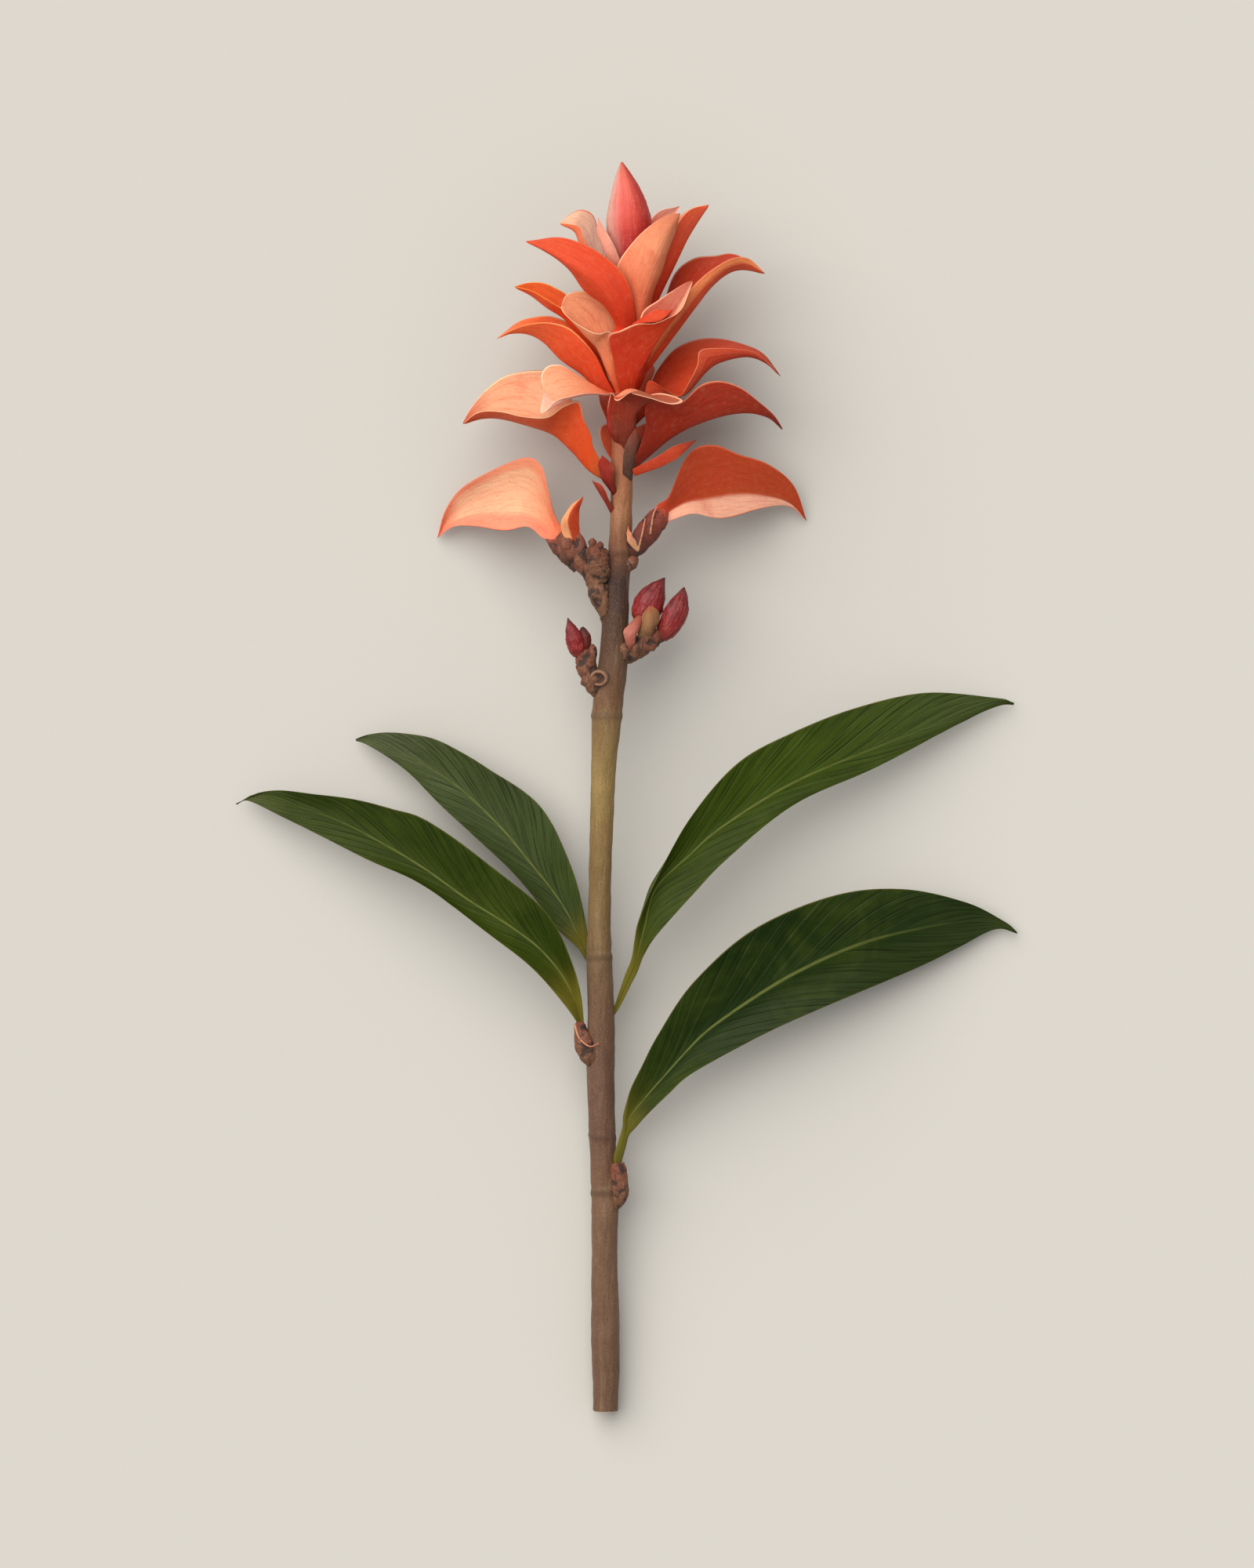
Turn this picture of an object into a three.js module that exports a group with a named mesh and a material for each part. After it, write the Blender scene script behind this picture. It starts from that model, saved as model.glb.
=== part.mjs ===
// Cut stem of a ginger flower: a woody stem, four leaves, buds and shoots at its joints, and a head of
// fleshy bracts. It is drawn standing (x across, y up the stem from the cut end, z towards the side that
// faces up when it lies down) and laid on its back at the end of this file. Millimetres throughout.
import * as THREE from 'three';
import { LoftGeometry } from 'three/addons/geometries/LoftGeometry.js';

// ---- Driving dimensions -------------------------------------------------------------------------------
const PLANT_LENGTH = 600; // cut end to the tip of the centre bud
const LEAF_SPREAD = 384; // across the tips of the two lower leaves
const HEAD_WIDTH = 182; // across the tips of the two lowest bracts
const STEM_DIAMETER = 12; // at the cut end
const BRACT_THICKNESS = 1.0;
const LEAF_THICKNESS = 0.9;
const GAP = 0.35; // clearance between a piece and the one it grows from
const REST_DEPTH = 42; // how far the back of the head stands off the stem's axis, at REST_HEIGHT
const REST_HEIGHT = 470;

// ---- Sizes the control points below are drawn at --------------------------------------------------------
const DRAWN_LENGTH = 600;
const DRAWN_LEAF_SPREAD = 384;
const DRAWN_HEAD_WIDTH = 182;
const DRAWN_DIAMETER = 12;
const DRAWN_BRACT_THICKNESS = 1;
const HEAD_STARTS = 345; // the leaf region ends here ...
const HEAD_FULL = 400; // ... and the head's own width rules from here

// Stem: height, x of the centre, radius.
const STEM = [
  [0, -2.6, 6.0], [12, -2.7, 6.2], [28, -2.8, 6.8], [43, -3.0, 6.9], [58, -3.2, 6.3], [75, -3.4, 6.0],
  [92, -3.1, 6.5], [100, -3.0, 6.9], [105, -3.0, 6.6], [118, -3.8, 6.2], [132, -4.5, 6.4], [150, -4.8, 6.4],
  [161, -5.0, 6.6], [168, -5.6, 7.2], [174, -5.2, 6.8], [188, -4.7, 6.5], [206, -5.4, 6.1],
    [217, -5.9, 6.5], [221, -5.9, 5.8], [240, -5.8, 5.3],
  [264, -5.3, 5.4], [301, -4.1, 5.8], [322, -2.9, 6.1], [332, -2.3, 7.7], [338, -2.0, 7.2],
    [350, -0.5, 7.4],
  [363, 1.3, 6.9], [377, 1.9, 6.4], [392, 2.3, 5.8], [405, 3.6, 5.5], [412, 4.3, 6.1], [418, 4.5, 5.4],
  [433, 4.7, 5.1], [452, 5.0, 5.4], [466, 5.8, 5.6], [485, 6.8, 5.2], [510, 7.9, 4.8], [544, 8.8, 4.0],
];

const MATERIALS = {
  stem_bark: { color: 0x7a5638, roughness: 0.75 },
  leaf_green: { color: 0x4a5a30, roughness: 0.45 },
  bract_coral: { color: 0xe0713f, roughness: 0.5 },
  bract_dark: { color: 0xa8402a, roughness: 0.5 },
  bud_pink: { color: 0xe4766c, roughness: 0.45 },
  bud_crimson: { color: 0xb0484a, roughness: 0.5 },
  shoot_brown: { color: 0x6e4228, roughness: 0.8 },
  scale_tan: { color: 0xc08a5c, roughness: 0.7 },
};

const group = new THREE.Group();
group.name = 'ginger_flower';
const plant = new THREE.Group();
plant.name = 'plant';
group.add(plant);

// ---- Curves ---------------------------------------------------------------------------------------------
const vec = (p) => new THREE.Vector3(p[0], p[1], p[2]);
const mix = THREE.MathUtils.lerp;
const smooth = THREE.MathUtils.smoothstep;

// A smooth curve through the given points, read by its share of the length.
function rail(points) {
  const curve = new THREE.CatmullRomCurve3(points.map(vec), false, 'catmullrom', 0.5);
  curve.arcLengthDivisions = 80;
  return (t) => curve.getPointAt(t);
}

// Reads one column of a table whose rows are sorted by their first column.
function lookUp(table, column, at) {
  const last = table.length - 1;
  if (at <= table[0][0]) return table[0][column];
  if (at >= table[last][0]) return table[last][column];
  const i = table.findIndex((row) => row[0] > at);
  const share = (at - table[i - 1][0]) / (table[i][0] - table[i - 1][0]);
  return mix(table[i - 1][column], table[i][column], share);
}

const stemCentre = (height) => lookUp(STEM, 1, height);
const stemRadius = (height) => lookUp(STEM, 2, height);

// A point beside the stem: azimuth 0 is to the right (+x) and 90 is towards the viewer (+z).
function besideStem(height, azimuth, clearance) {
  const angle = THREE.MathUtils.degToRad(azimuth);
  const reach = stemRadius(height) + clearance;
  return [stemCentre(height) + Math.cos(angle) * reach, height, Math.sin(angle) * reach];
}

// ---- Growth: carries every drawn point to the driving dimensions ---------------------------------------
function grow(p) {
  const axis = stemCentre(p.y);
  const reach = Math.hypot(p.x - axis, p.z);
  const core = DRAWN_DIAMETER / 2;
  const thicken = STEM_DIAMETER / DRAWN_DIAMETER;
  const inHead = smooth(p.y, HEAD_STARTS, HEAD_FULL);
  const spread = mix(LEAF_SPREAD / DRAWN_LEAF_SPREAD, HEAD_WIDTH / DRAWN_HEAD_WIDTH, inHead);
  const grown = Math.min(reach, core) * thicken + Math.max(reach - core, 0) * spread;
  const factor = reach > 1e-9 ? grown / reach : 1;
  return new THREE.Vector3(axis + (p.x - axis) * factor, (p.y * PLANT_LENGTH) / DRAWN_LENGTH, p.z * factor);
}

// Skins closed rings, each counterclockwise about the way forward, into one solid with capped ends.
function solid(name, material, rings) {
  const grown = rings.map((ring) => ring.map(grow));
  const geometry = new LoftGeometry(grown, { closed: true, capStart: true, capEnd: true });
  const mesh = new THREE.Mesh(geometry, new THREE.MeshStandardMaterial(MATERIALS[material]));
  mesh.name = name;
  mesh.material.name = material;
  plant.add(mesh);
}

// ---- Round pieces: stem, shoots, buds ------------------------------------------------------------------
// spine: points along the middle; radii: [share of the length, radius]; flat: depth over width.
function stalk(name, material, { spine, radii, flat = 1, around = 10, along = 8 }) {
  const curve = new THREE.CatmullRomCurve3(spine.map(vec), false, 'catmullrom', 0.5);
  const rings = [];
  for (let i = 0; i <= along; i += 1) {
    const t = i / along;
    const centre = curve.getPointAt(t);
    const forward = curve.getTangentAt(t);
    const side = new THREE.Vector3().crossVectors(forward, new THREE.Vector3(0, 0, 1)).normalize();
    const up = new THREE.Vector3().crossVectors(forward, side);
    const radius = lookUp(radii, 1, t);
    rings.push(ringAt(centre, side, up, radius, radius * flat, around));
  }
  solid(name, material, rings);
}

function ringAt(centre, side, up, width, depth, around) {
  const ring = [];
  for (let j = 0; j < around; j += 1) {
    const angle = (j / around) * Math.PI * 2;
    ring.push(centre.clone()
      .addScaledVector(side, Math.cos(angle) * width)
      .addScaledVector(up, Math.sin(angle) * depth));
  }
  return ring;
}

// ---- Sheets: leaves and bracts --------------------------------------------------------------------------
// Each is drawn by three curves from its foot to its tip: the keel and the two margins. round softens the
// fold at the keel and belly swells each half. root is how much thicker the foot is than the blade.
function sheet(name, material, shape) {
  const { keel, near, far, tip } = shape;
  const { round = 0.5, belly = 0, root = 1.4, along = 10, across = 8 } = shape;
  const thickness = shape.thickness ?? BRACT_THICKNESS;
  const rails = [near, keel, far].map((points) => rail([...points, tip]));
  const stations = [];
  for (let i = 0; i <= along; i += 1) {
    const t = 0.985 * Math.pow(i / along, 0.9);
    const [a, k, b] = rails.map((at) => at(t));
    const row = crossRow(a, k, b, round, belly, across);
    stations.push({ t, width: a.distanceTo(k) + b.distanceTo(k), row });
  }
  const rings = stations.map((station, i) => {
    const before = stations[Math.max(i - 1, 0)].row;
    const after = stations[Math.min(i + 1, along)].row;
    const thick = Math.min(thickness * mix(root, 0.75, smooth(station.t, 0, 0.35)), 0.22 * station.width);
    return thickRing(station.row, before, after, thick);
  });
  solid(name, material, rings);
}

// Points from one margin to the other, along a hyperbola-like arc that passes through the keel.
function crossRow(a, k, b, round, belly, across) {
  const full = (1 + Math.sqrt(1 + round * round)) / 2;
  const pull = round / 2 / full;
  const corner = k.clone().addScaledVector(a, -pull).addScaledVector(b, -pull).divideScalar(1 - 2 * pull);
  const toNear = a.clone().sub(corner);
  const toFar = b.clone().sub(corner);
  const out = k.clone().multiplyScalar(2).sub(a).sub(b).multiplyScalar(belly);
  const row = [];
  for (let j = 0; j <= across; j += 1) {
    const v = (2 * j) / across - 1;
    const reach = Math.sqrt(v * v + round * round);
    row.push(corner.clone()
      .addScaledVector(toNear, (reach - v) / 2 / full)
      .addScaledVector(toFar, (reach + v) / 2 / full)
      .addScaledVector(out, Math.abs(v) * (1 - Math.abs(v)) * 4));
  }
  return row;
}

// Turns a row of points into a closed ring by giving it thickness along its own normals.
function thickRing(row, before, after, thick) {
  const last = row.length - 1;
  const offsets = row.map((point, j) => {
    const along = after[j].clone().sub(before[j]);
    const across = row[Math.min(j + 1, last)].clone().sub(row[Math.max(j - 1, 0)]);
    const v = (2 * j) / last - 1;
    return along.cross(across).normalize().multiplyScalar((thick / 2) * (1 - 0.6 * v ** 4));
  });
  const front = row.map((point, j) => point.clone().add(offsets[j]));
  const back = row.map((point, j) => point.clone().sub(offsets[j]));
  return [...back, ...front.reverse()];
}

// The three feet of a sheet that clasps the stem: near margin, keel, far margin.
// The margins draw in as the bracts are made thicker, so that neighbouring feet stay apart.
function foot(height, azimuth, halfAngle, lift = 1.5) {
  const clearance = GAP + BRACT_THICKNESS * 0.75;
  const extra = THREE.MathUtils.radToDeg((BRACT_THICKNESS - DRAWN_BRACT_THICKNESS) / STEM_DIAMETER) * 1.6;
  const spread = Math.sign(halfAngle) * Math.max(Math.abs(halfAngle) - extra, 8);
  return {
    near: besideStem(height + lift, azimuth + spread, clearance),
    keel: besideStem(height, azimuth, clearance),
    far: besideStem(height + lift, azimuth - spread, clearance),
  };
}

// A bract seated on the stem. keel, near and far go on from its foot.
function bract(name, material, { seat, keel, near, far, ...rest }) {
  const start = foot(...seat);
  sheet(name, material, {
    keel: [start.keel, ...keel],
    near: [start.near, ...near],
    far: [start.far, ...far],
    ...rest,
  });
}

// ---- Stem -----------------------------------------------------------------------------------------------
function mainStem() {
  const rings = STEM.map(([height, x, radius]) => ringAt(
    new THREE.Vector3(x, height, 0),
    new THREE.Vector3(0, 0, 1),
    new THREE.Vector3(1, 0, 0),
    radius,
    radius,
    14,
  ));
  solid('main_stem', 'stem_bark', rings);
}

// ---- Leaves ---------------------------------------------------------------------------------------------
const LEAF = { thickness: LEAF_THICKNESS, round: 0.35, belly: 0.06, root: 3, along: 15, across: 10 };

function leaves() {
  sheet('leaf_lower_left', 'leaf_green', {
    ...LEAF,
    keel: [[-14.2, 184.5, 2], [-21.1, 204.9, 3], [-32.8, 220.7, 4], [-48.2, 232.9, 4], [-68.9, 246, 3],
      [-89.8, 260.8, 0], [-110.5, 273.1, -5], [-132.6, 284.1, -11], [-153.3, 290.8, -17],
      [-172, 295.4, -23]],
    near: [[-13.0, 184.9, 2.4], [-17.3, 211.7, 9], [-30.9, 239.9, 11], [-58.8, 263.3, 11],
      [-88.5, 283.6, 6],
      [-105.5, 289.6, 1], [-123.5, 294.5, -5], [-143.1, 297, -11], [-165, 298, -20]],
    far: [[-15.3, 184.3, 2.4], [-22.6, 195.7, 8], [-41.8, 216.2, 11], [-75.3, 240.7, 8], [-94.9, 253.9, 4],
      [-115.6, 264, -2], [-137.9, 275, -9], [-158.6, 284.7, -16], [-175.5, 292.8, -23]],
    tip: [-182.9, 290.8, -26],
  });
  sheet('leaf_upper_left', 'leaf_green', {
    ...LEAF,
    keel: [[-11.4, 217.5, -6.5], [-15.3, 226.4, -9], [-21.1, 238.8, -12], [-28.8, 250.5, -14],
      [-39.2, 263.4, -15], [-50.8, 277.6, -16],
      [-63.8, 290.8, -17], [-75.5, 301, -18], [-89.8, 310.1, -20], [-105.5, 317.9, -23],
      [-118, 323.5, -26]],
    near: [[-10.4, 219, -6.9], [-11.4, 230, -9], [-18.5, 260.6, -8], [-33.9, 290, -9], [-58.8, 308.9, -10],
      [-71.6, 317.1, -12], [-84.7, 323.2, -14], [-97.6, 325.4, -18], [-112, 325.8, -23]],
    far: [[-12.6, 216.4, -6.4], [-16.8, 222.8, -7.5], [-27, 232, -8.5], [-39.2, 248, -9],
      [-58.8, 268, -10], [-71.6, 281, -11],
      [-84.7, 293, -13], [-97.6, 305.1, -16], [-110.4, 315, -21], [-119, 320.6, -25]],
    tip: [-124.9, 322.6, -28],
  });
  sheet('leaf_upper_right', 'leaf_green', {
    ...LEAF,
    keel: [[3.6, 196.8, 0], [7.8, 206, 1], [11.2, 214, 2.5], [13.4, 223, 3.5], [16, 233, 4.2],
      [21.5, 251.2, 5], [36.9, 266.7, 5],
      [53.1, 280.8, 5], [86.6, 301.7, 1], [126.9, 318.8, -9], [167.2, 333.9, -21], [188, 341, -27]],
    near: [[2.9, 199, 0.4], [6.4, 209.4, 1.5], [9.6, 217.6, 3.2], [11.2, 227, 5.4], [13.4, 237, 8],
      [21.8, 257, 11], [36.9, 285.5, 12],
      [59.9, 311.1, 9], [86.6, 325.8, 4], [117.5, 338.1, -5], [151, 345.4, -16], [184, 343.2, -25]],
    far: [[4.2, 194.4, 0.4], [9.2, 204.4, 1.5], [12.6, 211.2, 3], [15.6, 219, 5], [22, 229, 7.6],
      [39.5, 249, 11], [55.7, 265.2, 11],
      [89.3, 290.8, 5], [126.9, 308.9, -6], [167.2, 329.2, -20], [187, 338.9, -27]],
    tip: [196.6, 339.6, -29.5],
  });
  sheet('leaf_lower_right', 'leaf_green', {
    ...LEAF,
    keel: [[2.9, 120.6, 5.6], [5, 127.8, 5], [6.8, 134.6, 4.5], [8.6, 141.5, 4.2], [16.6, 151.4, 4.4],
      [26, 162.1, 5], [36.9, 174.2, 5], [47.5, 184.3, 5],
      [67.8, 198.5, 4], [86.6, 209.8, 2], [108.1, 220, -2], [126.9, 226.7, -6], [147.3, 231.4, -11],
      [167.2, 234.7, -16], [185, 235, -20]],
    near: [[1, 121.8, 6.8], [2.8, 128.6, 6], [5.2, 136.6, 5.6], [6.2, 144, 6.6], [9, 155, 9],
      [14.6, 166.6, 10.4], [22.4, 181.5, 11], [39.5, 207.5, 12], [67.8, 232.3, 9],
      [107, 248.2, 1], [140.5, 251.2, -7], [171.4, 244.6, -15], [190.2, 234.9, -20.5]],
    far: [[4.9, 119.6, 3.8], [6.8, 126.6, 3.4], [8.5, 132.6, 3.6], [11.4, 136, 5], [17.6, 143, 8],
      [27.5, 152.4, 10], [39.5, 162.7, 11], [67.8, 178.2, 9], [107, 195.1, 2],
      [147.3, 212.1, -9], [167.2, 221.8, -15], [185.5, 230.9, -20]],
    tip: [197.6, 228.4, -22],
  });
}

// ---- Joints on the stem: sheaths, buds and shoots --------------------------------------------------------
function joints() {
  stalk('leaf_base_left', 'shoot_brown', {
    spine: [[-13.9, 168.4, 2.5], [-14.6, 172.5, 2.8], [-14.7, 178, 2.4], [-14.6, 183.2, 2.2]],
    radii: [[0, 0.7], [0.2, 2.0], [0.5, 2.9], [1, 2.7]],
    along: 6,
  });
  stalk('leaf_base_right', 'shoot_brown', {
    spine: [[5.6, 101.2, 4.4], [4.8, 105.5, 6.6], [3.4, 111, 7.7], [3, 118.8, 7.1]],
    radii: [[0, 1.0], [0.2, 2.6], [0.5, 3.5], [0.85, 3.4], [1, 2.9]],
    flat: 0.55,
    along: 7,
  });
  stalk('bud_base_right', 'shoot_brown', {
    spine: [[9.4, 361, 0], [12.6, 366, 0.5], [18, 369.8, 1], [24.6, 373.6, 1]],
    radii: [[0, 1.0], [0.2, 3.6], [0.6, 3.9], [0.85, 3.4], [1, 2.4]],
    along: 8,
  });
  stalk('bud_right_inner', 'bud_crimson', {
    spine: [[16.4, 380.2, -2], [17.6, 387, -2], [21.4, 394, -1.5], [26, 400.4, -1]],
    radii: [[0, 3.2], [0.14, 6.0], [0.34, 6.9], [0.6, 5.3], [0.8, 3.1], [0.93, 1.2], [1, 0.3]],
    flat: 0.75,
    along: 10,
  });
  stalk('bud_right_outer', 'bud_crimson', {
    spine: [[26.4, 378, 1.5], [29.6, 381.6, 2], [33, 388, 2], [35.6, 395.4, 1.5]],
    radii: [[0, 3.0], [0.15, 5.0], [0.4, 5.5], [0.65, 4.4], [0.85, 2.2], [0.94, 1.1], [1, 0.3]],
    flat: 0.8,
    along: 10,
  });
  sheet('bud_scale_tan', 'scale_tan', {
    keel: [[17.2, 374.4, 3], [17.6, 377, 6.4], [17.8, 382, 6.4]],
    near: [[14.4, 374.6, 3], [13.8, 378.6, 4.8], [14.6, 383.8, 4.8]],
    far: [[20, 374.6, 3], [21.6, 378.2, 4.8], [21.2, 383.4, 4.8]],
    tip: [18, 387.2, 4.6],
    round: 0.9,
    root: 1,
    along: 7,
    across: 6,
  });
  sheet('bud_scale_pink', 'scale_tan', {
    keel: [[14.6, 375.6, 4.2], [11.6, 376.8, 6.2], [8.4, 376, 7.2]],
    near: [[13.6, 379.6, 3.8], [10.8, 381.2, 5.2], [8, 378.4, 6.4]],
    far: [[14, 372.6, 4.2], [11.4, 373, 5.6], [7.8, 373.6, 6.6]],
    tip: [4.6, 374.4, 7.6],
    round: 0.7,
    root: 1,
    along: 6,
    across: 6,
  });
  stalk('bud_stalk_left', 'shoot_brown', {
    spine: [[-10.2, 344.5, 0], [-10.6, 350, 0.5], [-11.6, 356, 1], [-13.2, 362.6, 1]],
    radii: [[0, 0.9], [0.2, 2.2], [0.5, 3.6], [0.75, 3.4], [1, 3.8]],
    along: 8,
  });
  stalk('bud_left', 'bud_crimson', {
    spine: [[-15.2, 364, 1], [-16.6, 369, 1], [-18.6, 375, 1], [-21, 381, 1]],
    radii: [[0, 2.4], [0.3, 4.1], [0.55, 3.9], [0.8, 2.3], [0.93, 1], [1, 0.3]],
    along: 9,
  });
  stalk('bud_left_scale', 'bud_crimson', {
    spine: [[-9.9, 364.4, -1], [-10.4, 369, -1], [-12.2, 376, -1]],
    radii: [[0, 1.2], [0.3, 2.1], [0.7, 1.9], [1, 0.4]],
    flat: 1.3,
    along: 6,
  });
  stalk('shoot_left', 'shoot_brown', {
    spine: [[-6.2, 384.5, 0], [-7.4, 392, 0.5], [-9.2, 400, 1], [-12.8, 407.6, 1.5], [-17, 413, 1],
      [-18.8, 418, 0.5]],
    radii: [[0, 0.9], [0.2, 2.9], [0.45, 4.8], [0.7, 7.6], [0.88, 9.4], [1, 9.6]],
    flat: 0.6,
    around: 12,
    along: 10,
  });
  stalk('shoot_right', 'shoot_brown', {
    spine: [[12.6, 414.2, 1], [15.2, 419.6, 2], [18.4, 424.6, 2], [22.4, 429, 1.5]],
    radii: [[0, 1.4], [0.2, 3.9], [0.5, 5.8], [0.8, 6.0], [1, 5.6]],
    flat: 0.75,
    around: 12,
    along: 8,
  });
  stalk('knob_right', 'shoot_brown', {
    spine: [[10.7, 407, 0], [11.6, 409, 0], [12.6, 411.4, 0]],
    radii: [[0, 0.8], [0.5, 1.7], [1, 0.8]],
    around: 8,
    along: 4,
  });
}

// ---- Lowest pair of bracts, on the two shoots ----------------------------------------------------------
function lowerBracts() {
  sheet('bract_lower_left', 'bract_coral', {
    keel: [[-25.3, 420.2, 0], [-28, 426, -2.5], [-34, 435, -5], [-43, 441, -10], [-55, 441, -18],
      [-68, 437, -28.5],
      [-79, 430, -35.5]],
    near: [[-21.8, 421.8, 0.4], [-27, 431, 2.2], [-30, 444, 4], [-33.5, 455.5, 3], [-41, 459.6, -1],
      [-56, 454.8, -13], [-72, 446, -25.5], [-80.5, 434.5, -33]],
    far: [[-28.7, 417.9, 1.5], [-33, 419, 0], [-40.3, 423.8, -4], [-51.6, 422.2, -13], [-66.7, 425.4, -25],
      [-76.5, 425.6, -31.5]],
    tip: [-84.9, 420.5, -37],
    round: 0.6,
    root: 2,
    along: 12,
    across: 10,
  });
  sheet('horn_left', 'bract_coral', {
    keel: [[-18.8, 421.8, 4.4], [-20, 428, 7.6], [-17.6, 434, 8.2]],
    near: [[-15.2, 423, 3], [-15.6, 428, 5], [-14.8, 434, 6.5]],
    far: [[-23.6, 421.4, 4.6], [-24, 427.6, 6.4], [-20, 434, 7.4]],
    tip: [-13.4, 439.2, 7.5],
    round: 0.2,
    root: 1.5,
    along: 7,
    across: 6,
  });
  sheet('bract_lower_right', 'bract_coral', {
    keel: [[25.4, 431.2, 1.5], [34, 437.5, -2], [43, 440.7, -6], [57.3, 443.7, -13], [71.6, 443, -22],
      [86.1, 438.5, -32]],
    near: [[21.6, 434.9, 2], [27.5, 439.4, 4.5], [33.5, 454, 4.5], [40, 462.6, 1.5], [50, 464.6, -4],
      [61.8, 460.4, -11], [76, 456, -20], [88.5, 446, -31]],
    far: [[27.8, 427, 2], [33, 429.2, 1.5], [40, 430.8, -0.5], [50, 428.7, -6], [58, 429.5, -11],
      [71.6, 433.9, -20],
      [86, 436, -31.5]],
    tip: [95.2, 428.8, -38],
    round: 0.3,
    root: 2,
    along: 12,
    across: 10,
  });
}

// ---- Head -------------------------------------------------------------------------------------------------
function headLowerTiers() {
  bract('bract_left_4', 'bract_coral', {
    seat: [446, 184, -32],
    keel: [[-10, 451.6, 0], [-18.4, 460.6, 0], [-28.4, 469.6, 0], [-39.5, 474.6, 0], [-52.4, 477.6, -1],
      [-62, 477.4, -2]],
    near: [[-8.2, 461, 7], [-10, 468, 9.5], [-13.4, 475, 11.5], [-15.8, 483.2, 12.6], [-22.6, 480.8, 16.5],
      [-30.4, 475.2, 19], [-42.2, 476.2, 16], [-52.4, 478.7, 11], [-63.7, 479, 4]],
    far: [[-11, 464, -7], [-19, 484, -13], [-24.5, 500, -15.6], [-34, 501, -16.6], [-43, 500.2, -16],
      [-52.4, 497.2, -13], [-61, 490.4, -8], [-67.6, 482, -4]],
    tip: [-71.8, 474.4, -3],
    round: 0.4,
    along: 13,
    across: 10,
  });
  bract('bract_right_4', 'bract_dark', {
    seat: [452, 15, 35],
    keel: [[20.3, 461, 1], [27.9, 467.2, 1], [36.9, 472.2, 1], [47.1, 476.4, 0], [57.3, 479.2, -1],
      [67.4, 479.8, -2], [76.5, 477.2, -3]],
    near: [[13.4, 462, 8], [16.6, 472, 10.4], [16.2, 480, 11.4], [18.6, 484.4, 12.4], [26, 483.9, 12.8],
      [33, 483.6, 12.4], [37.4, 487, 11.6], [42.4, 491.6, 9.8], [48.2, 493.8, 9], [54.6, 493.8, 8],
      [62.5, 491, 6], [71.2, 484.6, 2], [78, 478.5, -1]],
    far: [[15, 462, -8], [20, 474, -13], [30, 483, -15], [42, 488, -15], [54, 489, -13], [64, 487, -10],
      [74, 480, -6]],
    tip: [82.6, 471.6, -4],
    round: 0.3,
    along: 14,
    across: 10,
  });
  sheet('strap_right', 'bract_dark', {
    keel: [[10.6, 450.4, 6], [17, 453.2, 8.6], [24.5, 456.6, 9], [31.5, 460.8, 8.6]],
    near: [[10, 452.4, 6.4], [16, 455.4, 8.8], [23.2, 459.2, 9.2], [30, 463.4, 8.8]],
    far: [[11.4, 448.8, 5.6], [18.2, 451, 8], [26, 454, 8.4], [33.4, 458.6, 8]],
    tip: [41.2, 466.4, 8],
    round: 0.6,
    root: 1.3,
    along: 8,
    across: 6,
  });
  bract('bract_front', 'bract_coral', {
    seat: [463, 76, 34],
    keel: [[8.6, 468.5, 7.6], [8.4, 477, 9.6], [8.8, 485, 13], [9.6, 488.8, 18]],
    near: [[-1.6, 470, 6.4], [-2.4, 478, 7.6], [-3.8, 484.4, 9.6], [-4.2, 487.2, 13], [0.6, 488, 18]],
    far: [[13.6, 468.6, 6.4], [15, 477, 8], [16.6, 482.6, 11], [24, 485.4, 14.6], [33, 484.8, 18],
      [27, 485.6, 22]],
    tip: [9.6, 488.6, 25],
    round: 0.9,
    along: 12,
    across: 12,
  });
  bract('bract_left_front', 'bract_coral', {
    seat: [480, 148, -20],
    keel: [[-3.6, 488.2, 9.4], [-12, 489, 13.4], [-21, 488, 16.4], [-27, 487.4, 17.6]],
    near: [[-2, 487.4, 11.6], [-9, 486.8, 16.4], [-16, 485, 19.4], [-23.4, 481.6, 21.6],
      [-30.4, 476.8, 22.4]],
    far: [[-3, 489.6, 8], [-9.6, 493.6, 8.6], [-16.4, 498.4, 9], [-23.6, 502, 9.4], [-30, 500.2, 10.4]],
    tip: [-32.2, 488.4, 17.6],
    round: 0.8,
    along: 10,
    across: 8,
  });
}

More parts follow.
